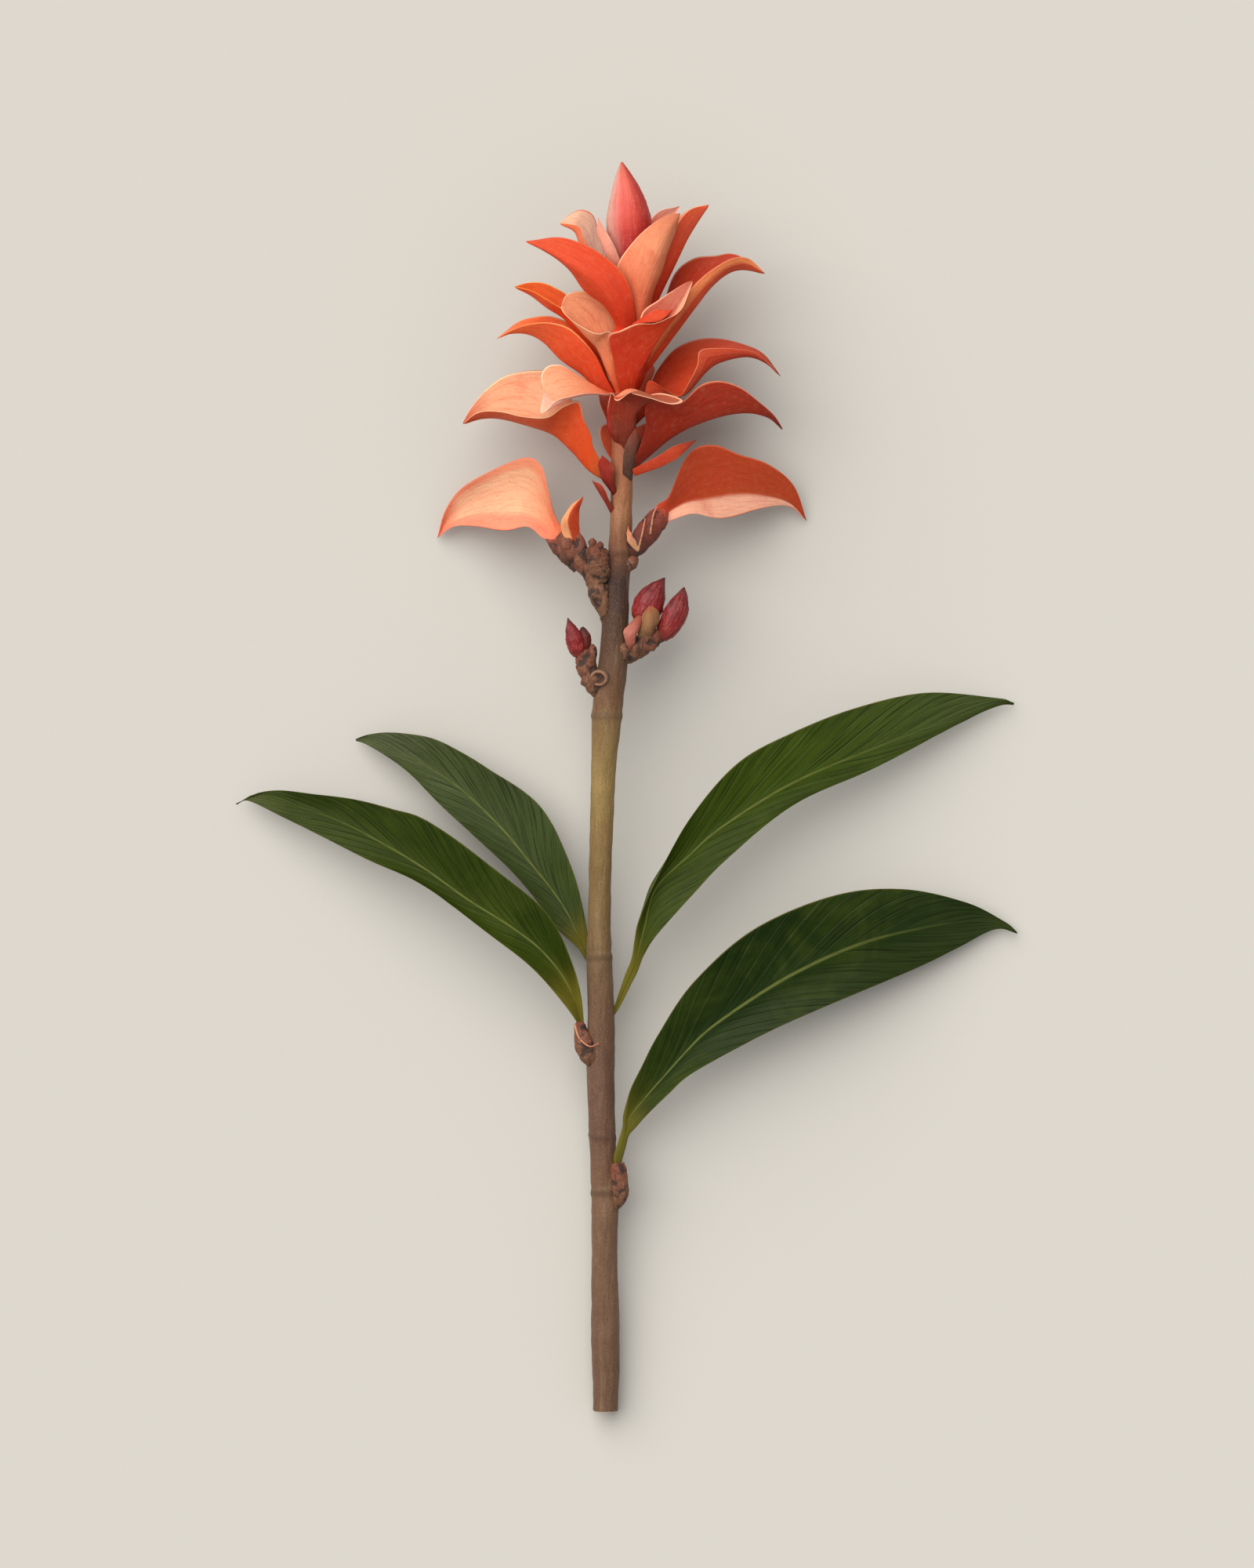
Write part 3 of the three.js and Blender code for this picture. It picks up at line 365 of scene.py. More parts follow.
def bark_finish(name, colours, dark=(58, 36, 24), pale=(176, 150, 112), rings=(), fineness=1, blotches=0.3):
    """Woody skin, finely speckled: colours run along the length; rings are the shares where a leaf scar is.
    Its hollows are darkened with painted shade.
    """
    look = Look(name)
    t, _, face = look.split(look.attribute("blade"))
    body = look.place()
    x, y, z = look.split(body)
    drawn_out = look.join(x, look.times(y, 0.16), z)
    look.colour = look.ramp(t, colours)
    fibre = look.noise(drawn_out, 620, 4, 0.65)
    patch = look.noise(drawn_out, 190 * fineness, 5, 0.65, 0.6)
    speck = look.cells(body, 1500)
    grain = look.noise(body, 1700, 2, 0.6)
    look.tint(look.step(patch, 0.5, 0.74, blotches), dark)
    look.tint(look.step(patch, 0.48, 0.25, 0.3), pale)
    look.tint(look.step(grain, 0.5, 0.64, 0.35), dark)
    look.tint(look.step(fibre, 0.56, 0.74, 0.35), dark)
    look.tint(look.step(speck, 0.3, 0.14, 0.4), pale)
    # painted shade: the hollows between the lumps are darkened
    look.tint(look.step(face, -0.05, -0.55, 0.85), dark)
    for ring in rings:
        off_ring = look.math("ABSOLUTE", look.minus(t, ring))
        look.tint(look.step(off_ring, 0.0045, 0.001, 0.3), dark)
    cut_face = look.mix(look.step(speck, 0.5, 0.2), rgb(*FRESH_CUT), rgb(*CUT_PORES))
    look.colour = look.mix(look.step(face, 0.4, 0.6), look.colour, cut_face)
    height = look.plus(look.times(fibre, 0.6), look.times(grain, 0.4))
    normal = look.bump(height, 0.5, 0.0006, look.bump(patch, 0.4, 0.0015))
    return look.finish(look.plus(look.step(patch, 0.3, 0.7, 0.2), 0.6), normal, Sheen_Weight=0.05)


def bud_finish(name, colours, dark, pale, ribs=0.5, gloss=0.4, painted_highlight=None, painted_shade=None):
    """A closed bud: colours run from foot to tip, with fine ribs drawn out along it; gloss is its least
    roughness. painted_highlight and painted_shade are a painted highlight on its left side and painted shade
    on its right side."""
    look = Look(name)
    t, around, _ = look.split(look.attribute("blade"))
    body = look.place()
    look.colour = look.ramp(t, colours)
    turn = look.times(around, math.tau)
    rightward = look.math("COSINE", turn)
    ring = look.join(rightward, look.math("SINE", turn), look.times(t, 0.5))
    rib = look.noise(ring, 4.5, 4, 0.6, 0.2)
    # painted light: a highlight painted on the left side of the bud and shade painted on its right side
    if painted_highlight:
        look.tint(look.step(rightward, -0.25, -0.9, 0.75), painted_highlight)
        look.tint(look.step(rightward, 0.1, 0.85, 0.8), painted_shade)
    fibre = look.noise(ring, 12, 3, 0.6, 0.5)
    cloud = look.noise(body, 90, 4, 0.6, 0.5)
    grain = look.noise(body, 1500, 2, 0.6)
    look.tint(look.step(rib, 0.48, 0.7, ribs), dark)
    look.tint(look.step(fibre, 0.55, 0.68, ribs * 0.6), pale)
    look.tint(look.step(cloud, 0.5, 0.72, 0.3), dark)
    look.tint(look.step(grain, 0.5, 0.8, 0.2), pale)
    height = look.plus(look.times(rib, 0.6), look.times(fibre, 0.4))
    normal = look.bump(grain, 0.15, 0.0003, look.bump(height, 0.55, 0.0012))
    return look.finish(look.plus(look.step(cloud, 0.3, 0.7, 0.12), gloss), normal,
                       Subsurface_Weight=0.1, Subsurface_Radius=(1.0, 0.35, 0.25), Subsurface_Scale=0.0015,
                       Coat_Weight=0.05, Coat_Roughness=0.35, Specular_IOR_Level=0.3)


# ---- Curves -------------------------------------------------------------------------------------------
PER_SPAN = 40


def rail(points):
    """A Catmull-Rom curve through the points; gives places at the shares of its length."""
    p = np.array(points, float)
    p = np.vstack([2 * p[0] - p[1], p, 2 * p[-1] - p[-2]])
    u = np.linspace(0, 1, PER_SPAN, endpoint=False)[:, None]
    spans = []
    for before, start, end, after in zip(p, p[1:], p[2:], p[3:]):
        leave, arrive = (end - before) / 2, (after - start) / 2
        spans.append(start + leave * u + (3 * (end - start) - 2 * leave - arrive) * u**2
                     + (2 * (start - end) + leave + arrive) * u**3)
    fine = np.vstack([*spans, p[-2:-1]])
    length = np.concatenate([[0], np.cumsum(np.linalg.norm(np.diff(fine, axis=0), axis=1))])
    return lambda share: np.column_stack([np.interp(share * length[-1], length, fine[:, k]) for k in range(3)])


def smooth(x, low, high):
    s = np.clip((x - low) / (high - low), 0, 1)
    return s * s * (3 - 2 * s)


def unit(a):
    return a / np.maximum(np.linalg.norm(a, axis=-1, keepdims=True), 1e-12)


def beside_stem(height, azimuth, clearance):
    """A point beside the stem: azimuth 0 is to the right (+x) and 90 is towards the viewer (+z)."""
    angle = math.radians(azimuth)
    x, radius = (np.interp(height, STEM[:, 0], STEM[:, k]) for k in (1, 2))
    reach = radius + clearance
    return (x + math.cos(angle) * reach, height, math.sin(angle) * reach)


# ---- Pieces -------------------------------------------------------------------------------------------
def piece(name, points, faces, blade, look, node):
    """A smooth mesh in the row frame that stands for a CAD node, or that only adds to one."""
    mesh = bpy.data.meshes.new(name)
    world = np.array(TO_ROW)
    mesh.from_pydata(points @ world[:3, :3].T + world[:3, 3], [], faces)
    mesh.attributes.new("blade", "FLOAT_VECTOR", "POINT").data.foreach_set("vector", blade.ravel())
    mesh.shade_smooth()
    mesh.materials.append(look)
    obj = bpy.data.objects.new(name, mesh)
    bpy.context.scene.collection.objects.link(obj)
    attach(obj, "root")
    if node:
        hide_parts(node)
    return obj


def strip(a, b):
    """Quads between two rows of point numbers; where the rows share an end, a triangle."""
    faces = []
    for k in range(len(a) - 1):
        corners = [a[k], a[k + 1], b[k + 1], b[k]]
        faces.append([c for i, c in enumerate(corners) if c != corners[i - 1]])
    return faces


def ripple(points, scale, amount):
    """Soft uneven bumps, the same every run."""
    heights = [noise.noise(Vector(p) * scale) for p in points.reshape(-1, 3)]
    return np.array(heights).reshape(points.shape[:-1]) * amount


# Relief of a sheet in millimetres, by share of the length and place across.
SIDE_VEINS = 17
VEIN_SWEEP = 4.2


def leaf_relief(t, v, turn):
    edge = np.abs(v)
    rib = -0.45 * np.exp(-(v / 0.03) ** 2) * (1 - t)
    sweep = t * SIDE_VEINS - edge**0.8 * VEIN_SWEEP
    veins = -0.16 * np.exp(-(((sweep % 1) - 0.5) / 0.12) ** 2)
    veins = veins * smooth(edge, 0.05, 0.2) * smooth(1 - edge, 0, 0.15) * smooth(t, 0.1, 0.25)
    wave = 0.8 * np.sin(math.tau * (2.3 * t + 0.35 * np.sign(v) + turn)) * edge**3 * smooth(t, 0.15, 0.4)
    return rib + veins + wave


def bract_relief(t, v, turn):
    edge = np.abs(v)
    ridges = 0.05 * np.sin(31 * v + 3 * np.sin(5 * t + turn)) * smooth(1 - edge, 0, 0.3)
    wave = 0.4 * np.sin(math.tau * (2.6 * t + turn) + np.sign(v)) * edge**3 * smooth(t, 0.3, 0.6)
    return ridges + wave


RELIEFS = {"leaf_green": leaf_relief}
LEAF = dict(slot="leaf_green", thickness=LEAF_THICKNESS, round_=0.35, belly=0.06, root=3, inward=(0, 0, 1),
            along=170, across=72)
BLUNT = 0.994  # share of the length where a sheet ends, just short of its tip
CROWDING = 0.9  # below 1, rows get closer towards the tip


def folded(keel, near, far, tip, t, v, round_, belly):
    """The middle of a sheet at shares of its length t and places across it v, with its width at t and the mean
    height of its keel."""
    a, k, b = (rail([*points, tip])(t)[:, None] for points in (near, keel, far))
    full = (1 + math.sqrt(1 + round_**2)) / 2
    pull = round_ / 2 / full
    corner = (k - pull * a - pull * b) / (1 - 2 * pull)
    reach = np.sqrt(v**2 + round_**2)[None, :, None]
    across_v, edge = v[None, :, None], np.abs(v)[None, :, None]
    middle = (corner
              + (a - corner) * (reach - across_v) / 2 / full
              + (b - corner) * (reach + across_v) / 2 / full
              + (2 * k - a - b) * belly * edge * (1 - edge) * 4)
    width = np.linalg.norm(a - k, axis=2)[:, 0] + np.linalg.norm(b - k, axis=2)[:, 0]
    return middle, width, k[..., 1].mean()


def sheet_faces(rows, columns):
    """Quads over both faces, which share their margins, and over the two ends."""
    number = np.arange(rows * columns).reshape(rows, columns)
    under = number.copy()
    under[:, 1:-1] = rows * columns + np.arange(rows * (columns - 2)).reshape(rows, columns - 2)
    faces = []
    for i in range(rows - 1):
        faces += strip(number[i + 1], number[i])
        faces += strip(under[i], under[i + 1])
    return faces + strip(number[0], under[0]) + strip(under[-1], number[-1])


def sheet(name, keel, near, far, tip, slot="bract_coral", round_=0.5, belly=0, root=1.4,
          thickness=BRACT_THICKNESS, inward=None, along=90, across=48, node=True, foot=None):
    """A leaf or bract, drawn by three curves from its foot to its tip: the keel and the two margins.
    foot is a place before the first points, inside what the piece grows from. round_ eases the fold at the
    keel, belly bulges both halves, root is the thickness at the foot over the usual, and inward points to the
    inner side, which otherwise faces the stem. A piece with node=False stands for no CAD node."""
    if foot:
        keel, near, far = ([tuple(np.array(foot) + 0.3 * (np.array(points[0]) - keel[0])), *points]
                           for points in (keel, near, far))
    t = BLUNT * (np.arange(along + 1) / along) ** CROWDING
    s = np.linspace(-1, 1, across + 1)
    v = 0.6 * s + 0.4 * np.sin(s * math.pi / 2)
    middle, width, height = folded(keel, near, far, tip, t, v, round_, belly)
    normal = unit(np.cross(np.gradient(middle, axis=0), np.gradient(middle, axis=1)))
    if inward:
        toward = np.array(inward)
    else:
        stem_x = np.interp(height, STEM[:, 0], STEM[:, 1])
        toward = unit((np.array([stem_x, 0, 0]) - middle) * (1, 0, 1)) + (0, 1, 0)
    front_is_inner = (normal * toward).sum() > 0
    side = 1 if front_is_inner else -1
    turn = (sum(map(ord, name)) % 17) / 17  # shifts the waves, so that no two sheets match
    relief = RELIEFS.get(slot, bract_relief)(t[:, None], v[None, :], turn)
    middle = middle + normal * (relief * side)[..., None]
    thick = np.minimum(thickness * (root + (0.75 - root) * smooth(t, 0, 0.35)), 0.22 * width)
    half = thick[:, None] / 2 * (1 - 0.6 * v**4) * np.sqrt(1 - np.abs(v) ** 24)
    front, back = middle + normal * half[..., None], middle - normal * half[..., None]
    place = np.stack(np.broadcast_arrays(t[:, None], v[None, :], np.full((1, 1), 0.5)), axis=-1)
    top, bottom = place.copy(), place[:, 1:-1].copy()
    top[:, 1:-1, 2] = 1 if front_is_inner else 0
    bottom[..., 2] = 0 if front_is_inner else 1
    points = np.vstack([front.reshape(-1, 3), back[:, 1:-1].reshape(-1, 3)])
    blade = np.vstack([top.reshape(-1, 3), bottom.reshape(-1, 3)])
    faces = sheet_faces(t.size, v.size)
    return piece(name + "_skin", points, faces, blade, finish_of(name), name if node else None)


def bract(name, seat, keel, near, far, **rest):
    """A bract seated on the stem: keel, near and far go on from its foot."""
    height, azimuth, half_angle = seat
    clearance = -ROOTED
    return sheet(name,
                 keel=[beside_stem(height, azimuth, clearance), *keel],
                 near=[beside_stem(height + 1.5, azimuth + half_angle, clearance), *near],
                 far=[beside_stem(height + 1.5, azimuth - half_angle, clearance), *far],
                 **rest)


def stalk(name, spine, radii, flat=1, along=70, around=40, rough=0.12, knots=0.0,
          node=True):
    """A shoot or bud: rings along spine; radii are (share of the length, radius), flat is depth over width,
    rough and knots are the heights of the coarse bumps and of the small lumps."""
    t = np.linspace(0, 1, along + 1)
    centre = rail(spine)(t)
    forward = unit(np.gradient(centre, axis=0))
    side = unit(np.cross(forward, (0, 0, 1)))
    up = np.cross(forward, side)
    table = np.array(radii)
    radius = rounded(t, table)
    angle = np.arange(around) * math.tau / around
    wall = (side[:, None] * np.cos(angle)[None, :, None] + up[:, None] * np.sin(angle)[None, :, None] * flat)
    rings = centre[:, None] + wall * radius[:, None, None]
    bumps = (ripple(rings, 1.3, rough * 1.6)
             + ripple(rings + 9, 0.6, knots * 0.45)
             + ripple(rings + 40, 0.28, knots))
    rings = rings + unit(wall) * (bumps * np.minimum(1, radius / 3)[:, None])[..., None]
    relief = bumps / (0.6 * max(rough + knots, 0.3))
    return lathe(name, rings, t, np.clip(relief, -1, 0.3), node)


def rounded(at, table):
    """Reads a two-column table at `at`, with the corners between its rows eased."""
    spread = (table[-1, 0] - table[0, 0]) * 0.02
    shifts = np.linspace(-1, 1, 9) * spread
    return np.mean([np.interp(at + shift, table[:, 0], table[:, 1]) for shift in shifts], axis=0)


def lathe(name, rings, t, face, node=True):
    """Skins rings that are counterclockwise about the way forward, with a closed end at each side."""
    rows, around = rings.shape[:2]
    number = np.arange(rows * around).reshape(rows, around)
    number = np.hstack([number, number[:, :1]])
    faces = []
    for i in range(rows - 1):
        faces += strip(number[i], number[i + 1])
    points = np.vstack([rings.reshape(-1, 3), rings[0].mean(0), rings[-1].mean(0)])
    first, last = len(points) - 2, len(points) - 1
    faces += [[first, number[0, j + 1], number[0, j]] for j in range(around)]
    faces += [[last, number[-1, j], number[-1, j + 1]] for j in range(around)]
    turn = np.arange(around) / around
    face = np.broadcast_to(face.reshape(rows, -1), (rows, around))
    blade = np.stack(np.broadcast_arrays(t[:, None], turn[None, :], face), axis=-1).reshape(-1, 3)
    blade = np.vstack([blade, (t[0], 0, face[0, 0]), (t[-1], 0, face[-1, 0])])
    return piece(name + "_skin", points, faces, blade, finish_of(name), name if node else None)


# ---- Stem ---------------------------------------------------------------------------------------------
# Ring-shaped leaf scars: height, how far the ridge stands out, half height.
SCARS = [(105, 0.4, 1.5), (132, 0.35, 1.3), (174, 0.2, 2.2), (218, 0.42, 1.4), (334, 0.4, 1.8),
         (412, 0.35, 1.6)]
PLANT_LENGTH = 600
STEM_TOP = 544
CUT_BEVEL = 0.6


def main_stem():
    height = np.concatenate([np.linspace(0, CUT_BEVEL, 4), np.arange(1.4, STEM_TOP, 0.8), [STEM_TOP]])
    x, radius = (rounded(height, STEM[:, [0, k]]) for k in (1, 2))
    angle = np.arange(72) * math.tau / 72
    wall = np.stack([np.sin(angle), np.zeros_like(angle), np.cos(angle)], axis=1)[None]
    inset = CUT_BEVEL * np.clip(1 - height / CUT_BEVEL, 0, 1)[:, None] ** 2
    for place, out, half in SCARS:
        gap = (height[:, None] - place + 0.8 * np.sin(angle + place)[None]) / half
        inset = inset - out * np.exp(-gap**2) + 0.4 * out * np.exp(-(gap - 1.8) ** 2)
    reach = radius[:, None] - inset
    centre = np.stack([x, height, np.zeros_like(x)], axis=1)[:, None]
    rings = centre + wall * reach[..., None]
    drawn_out = rings * (1, 0.18, 1)
    bark = ripple(drawn_out, 0.9, 0.16) + ripple(drawn_out + 20, 2.4, 0.08) + ripple(rings + 60, 0.12, 0.35)
    rings = rings + wall * bark[..., None]
    face = np.where(height < CUT_BEVEL / 2, 1.0, 0.0)
    return lathe("main_stem", rings, height / PLANT_LENGTH, face)


# ---- What each piece looks like -----------------------------------------------------------------------
# Colours are 0-255 display values; a list of (share of the length, colour) runs from the foot to the tip.
PALE_RIM = (250, 196, 156)
CORAL = dict(inner=[(0, (214, 60, 26)), (0.4, (240, 112, 66)), (1, (240, 130, 84))],
    outer=[(0, (206, 50, 18)), (0.4, (224, 70, 30)), (1, (216, 76, 40))], rim=PALE_RIM)
DARK = dict(inner=[(0, (176, 40, 14)), (0.5, (200, 66, 26)), (1, (160, 54, 36))],
    outer=[(0, (168, 40, 12)), (0.5, (176, 48, 16)), (0.88, (150, 44, 24)), (1, (70, 24, 26))],
    rim=(224, 130, 96))
BRACTS = {
    "bract_lower_left": dict(
        inner=[(0, (206, 84, 44)), (0.12, (240, 130, 90)), (0.4, (250, 190, 146)), (0.8, (248, 184, 144)),
            (1, (222, 96, 64))], outer=[(0, (200, 70, 36)), (1, (232, 110, 76))], rim=(240, 124, 96),
        near=((246, 128, 92), -0.6, 0.6), far=((244, 134, 106), 0.45, 0.7), flush=(232, 100, 66)),
    "horn_left": dict(inner=[(0, (150, 60, 30)), (0.4, (206, 74, 34)), (1, (190, 60, 26))],
        outer=[(0, (150, 60, 30)), (0.4, (206, 74, 34)), (1, (190, 60, 26))], rim=(214, 110, 66),
        far=((250, 176, 120), 0.1, 0.95)),
    "bract_lower_right": dict(
        inner=[(0, (176, 52, 14)), (0.4, (184, 66, 20)), (0.8, (186, 76, 34)), (1, (84, 30, 22))],
        outer=[(0, (180, 50, 20)), (1, (190, 70, 36))], rim=(220, 110, 76), near=((192, 66, 24), 0.05, 0.8),
        far=((255, 190, 158), 0.1, 0.95)),
    "bract_left_4": dict(
        inner=[(0, (236, 76, 20)), (0.3, (244, 130, 82)), (0.5, (240, 184, 142)), (0.8, (238, 174, 132)),
            (1, (190, 74, 44))],
        outer=[(0, (120, 104, 40)), (0.07, (196, 96, 36)), (0.18, (232, 76, 18)), (0.6, (226, 90, 44)),
            (1, (190, 70, 40))], rim=(252, 206, 164), flush=(236, 90, 50)),
    "bract_right_4": dict(DARK,
        outer=[(0, (136, 28, 8)), (0.35, (156, 34, 4)), (0.8, (150, 40, 16)), (1, (66, 22, 28))]),
    "strap_right": dict(DARK, outer=[(0, (186, 56, 20)), (0.7, (196, 62, 24)), (1, (130, 56, 42))],
        inner=[(0, (186, 56, 20)), (0.7, (196, 62, 24)), (1, (130, 56, 42))]),
    "bract_front": dict(inner=[(0, (232, 90, 50)), (1, (246, 160, 120))],
        outer=[(0, (84, 34, 20)), (0.22, (100, 36, 16)), (0.5, (150, 46, 18)), (1, (190, 70, 36))],
        rim=(252, 186, 148), rim_width=0.07, near=((150, 14, 4), -0.72, 0.9),
        far=((120, 52, 28), 0.2, 0.7)),
    "bract_left_front": dict(
        inner=[(0, (236, 90, 50)), (0.2, (240, 120, 80)), (0.5, (236, 150, 108)), (1, (240, 186, 142))],
        outer=[(0, (232, 76, 28)), (1, (236, 120, 80))], rim=(250, 206, 176), streaks=0.2,
        near=((232, 196, 176), -0.4, 0.6)),
    "bract_left_3": dict(inner=[(0, (232, 64, 22)), (0.5, (240, 104, 54)), (1, (244, 128, 76))],
        outer=[(0, (226, 56, 18)), (0.5, (240, 86, 40)), (1, (238, 112, 60))], rim=(246, 156, 96)),
    "bract_right_3": dict(DARK, near=((214, 84, 46), -0.5, 0.6)),
    # bract_right_2: the near-black red at the foot of its inner face is painted shade, deep between it and the
    # cup
    "bract_right_2": dict(DARK, inner=[(0, (140, 14, 2)), (0.5, (184, 54, 20)), (1, (160, 54, 36))],
        near=((244, 144, 84), -0.55, 0.9),
        outer=[(0, (226, 66, 26)), (0.5, (206, 72, 34)), (1, (176, 66, 40))]),
    "bract_left_2": dict(inner=[(0, (236, 74, 20)), (1, (244, 104, 40))],
        outer=[(0, (232, 62, 14)), (1, (244, 92, 34))], rim=(254, 164, 60)),
    "bract_cup_left": dict(inner=[(0, (236, 96, 52)), (0.5, (252, 160, 114)), (1, (252, 168, 122))],
        outer=[(0, (240, 84, 34)), (0.55, (252, 164, 116)), (1, (250, 164, 118))], rim=(254, 206, 166)),
    "bract_cup_right": dict(
        inner=[(0, (180, 24, 8)), (0.5, (206, 84, 52)), (0.8, (236, 176, 142)), (1, (236, 176, 142))],
        outer=[(0, (206, 60, 26)), (0.3, (200, 46, 14)), (0.6, (222, 62, 20)), (1, (210, 66, 34))],
        rim=(252, 180, 140), far=((168, 30, 8), 0.0, 0.7), rim_width=0.06),
    "bract_front_left": dict(inner=[(0, (206, 36, 10)), (0.5, (226, 70, 32)), (1, (228, 90, 48))],
        outer=[(0, (240, 40, 8)), (0.5, (228, 70, 32)), (1, (226, 84, 44))], rim=(244, 130, 84),
        streaks=0.5),
    "bract_front_right": dict(inner=[(0, (216, 60, 28)), (0.5, (242, 140, 96)), (1, (244, 160, 118))],
        outer=[(0, (224, 76, 40)), (0.35, (236, 120, 80)), (0.7, (232, 148, 106)), (1, (200, 116, 80))],
        rim=(252, 190, 150), flush=(200, 74, 46), freckle=0.5),
    "bract_right_1": dict(inner=[(0, (216, 46, 18)), (1, (236, 96, 54))],
        outer=[(0, (212, 44, 16)), (0.6, (232, 78, 42)), (1, (236, 100, 62))], rim=(248, 166, 126)),
    "bract_back_right": dict(inner=[(0, (226, 76, 46)), (0.6, (240, 116, 82)), (1, (242, 186, 164))],
        outer=[(0, (226, 76, 46)), (1, (240, 126, 96))], rim=(250, 206, 188)),
    "bract_left_1": dict(inner=[(0, (236, 96, 60)), (0.5, (255, 226, 206)), (1, (250, 190, 150))],
        outer=[(0, (236, 86, 50)), (0.5, (250, 156, 116)), (1, (240, 104, 56))], rim=(240, 100, 52),
        streaks=0.15, freckle=0.1),
    "bract_inner_left": dict(inner=[(0, (236, 104, 74)), (1, (248, 170, 144))],
        outer=[(0, (236, 100, 70)), (0.5, (246, 168, 144)), (1, (246, 160, 134))], rim=(250, 190, 166),
        streaks=0.15),
    "scale_left_upper": dict(DARK, inner=[(0, (96, 14, 10)), (1, (130, 22, 14))],
        outer=[(0, (96, 14, 10)), (1, (136, 24, 16))]),
    "scale_left_lower": dict(DARK, inner=[(0, (96, 30, 22)), (1, (130, 40, 28))],
        outer=[(0, (96, 30, 22)), (1, (150, 50, 36))]),
    "bud_scale_tan": dict(inner=[(0, (130, 96, 58)), (1, (166, 106, 68))],
        outer=[(0, (146, 124, 96)), (0.4, (144, 116, 76)), (0.8, (146, 106, 68)), (1, (176, 88, 56))],
        rim=(190, 110, 80), flush=(96, 66, 40), streaks=0.6, freckle=0.6),
    "bud_scale_pink": dict(inner=[(0, (160, 80, 60)), (1, (180, 90, 70))],
        outer=[(0, (140, 60, 44)), (0.5, (192, 122, 106)), (1, (104, 60, 40))], rim=(206, 140, 116),
        flush=(130, 44, 34), streaks=0.6, freckle=0.6),
}
LEAVES = {
    "leaf_lower_left": dict(
        blade_colours=[(0, (96, 84, 24)), (0.2, (50, 62, 10)), (0.6, (46, 58, 6)), (0.85, (54, 64, 20)),
            (1, (84, 88, 52))], near=((34, 48, 2), -0.2, 0.5)),
    "leaf_upper_left": dict(
        blade_colours=[(0, (96, 84, 24)), (0.2, (58, 70, 32)), (0.6, (64, 74, 42)), (1, (82, 88, 58))]),
    "leaf_upper_right": dict(
        blade_colours=[(0, (110, 100, 30)), (0.2, (56, 70, 8)), (0.6, (50, 66, 6)), (1, (70, 80, 40))],
        far=((44, 54, 10), 0.1, 0.7)),
    # leaf_lower_right: its far half, the lower one, is tinted lighter and greyer, a painted sheen
    "leaf_lower_right": dict(
        blade_colours=[(0, (110, 104, 34)), (0.2, (26, 42, 4)), (0.6, (20, 38, 2)), (0.9, (36, 50, 16)),
            (1, (60, 70, 36))], far=((38, 48, 16), 0.1, 0.8)),
}
SHOOT = dict(colours=[(0, (104, 70, 40)), (0.5, (106, 60, 34)), (1, (112, 48, 24))], dark=(30, 12, 4),
    pale=(176, 124, 84), fineness=2.2, blotches=0.85)
BARKS = {
    # main_stem: the dark band from 0.57 to 0.69 of its length is painted shadow of the buds and shoots beside
    # it
    "main_stem": dict(
        colours=[(0, (92, 62, 38)), (0.17, (102, 70, 44)), (0.22, (90, 58, 36)), (0.3, (94, 62, 40)),
            (0.355, (102, 74, 42)), (0.38, (110, 84, 44)), (0.43, (112, 86, 40)), (0.5, (136, 110, 56)),
            (0.55, (114, 86, 44)), (0.57, (98, 62, 30)), (0.6, (78, 46, 18)), (0.64, (58, 30, 12)),
            (0.665, (46, 20, 8)), (0.69, (112, 66, 36)), (0.72, (150, 98, 60)), (0.8, (156, 70, 36))],
        dark=(50, 26, 14), pale=(160, 126, 90),
        rings=[place / PLANT_LENGTH for place in (105, 132, 218, 334, 412)]),
    "stem_scar_ring": dict(
        colours=[(0, (96, 64, 40)), (0.45, (140, 100, 70)), (0.6, (120, 76, 50)), (0.72, (60, 32, 18)),
            (1, (44, 22, 12))], dark=(34, 16, 8), pale=(170, 130, 96), fineness=2),
    "shoot_right": dict(
        colours=[(0, (62, 34, 18)), (0.3, (90, 30, 14)), (0.8, (120, 40, 16)), (1, (170, 60, 24))],
        dark=(44, 10, 4), pale=(150, 76, 44)),
}
BUDS = {
    "bud_left_scale": dict(colours=[(0, (70, 26, 18)), (0.5, (96, 22, 16)), (1, (60, 14, 12))],
        dark=(36, 4, 4), pale=(150, 60, 44), ribs=0.6),
    # centre_bud: a painted highlight on its left side and painted shade on its right side
    "centre_bud": dict(
        colours=[(0, (140, 4, 2)), (0.25, (156, 12, 4)), (0.45, (192, 56, 42)), (0.8, (208, 90, 74)),
            (1, (196, 92, 70))], dark=(176, 30, 18), pale=(232, 140, 120), ribs=0.3, gloss=0.45,
        painted_highlight=(206, 160, 146), painted_shade=(156, 14, 6)),
}
SHEATH = dict(colours=[(0, (66, 34, 18)), (0.4, (80, 42, 22)), (0.75, (112, 48, 24)), (1, (140, 58, 32))],
    dark=(36, 12, 4), pale=(144, 92, 56), fineness=2, blotches=0.6)
DRY = dict(colours=[(0, (176, 130, 90)), (1, (196, 110, 76))], dark=(120, 70, 44), pale=(216, 176, 140))
CRIMSON = dict(colours=[(0, (120, 40, 26)), (0.3, (126, 18, 20)), (0.8, (104, 12, 16)), (1, (70, 14, 14))],
    dark=(52, 2, 6), pale=(206, 96, 88), ribs=0.9, gloss=0.35)


# Finishes that pieces share, by name or by its first word; all the others are shoots.
SHARED = {"bract": "bract", "bud": "bud", "bud_stalk_left": "shoot", "bud_base_right": "shoot", "fibre": "dry",
          "paper": "dry", "sheath": "sheath"}


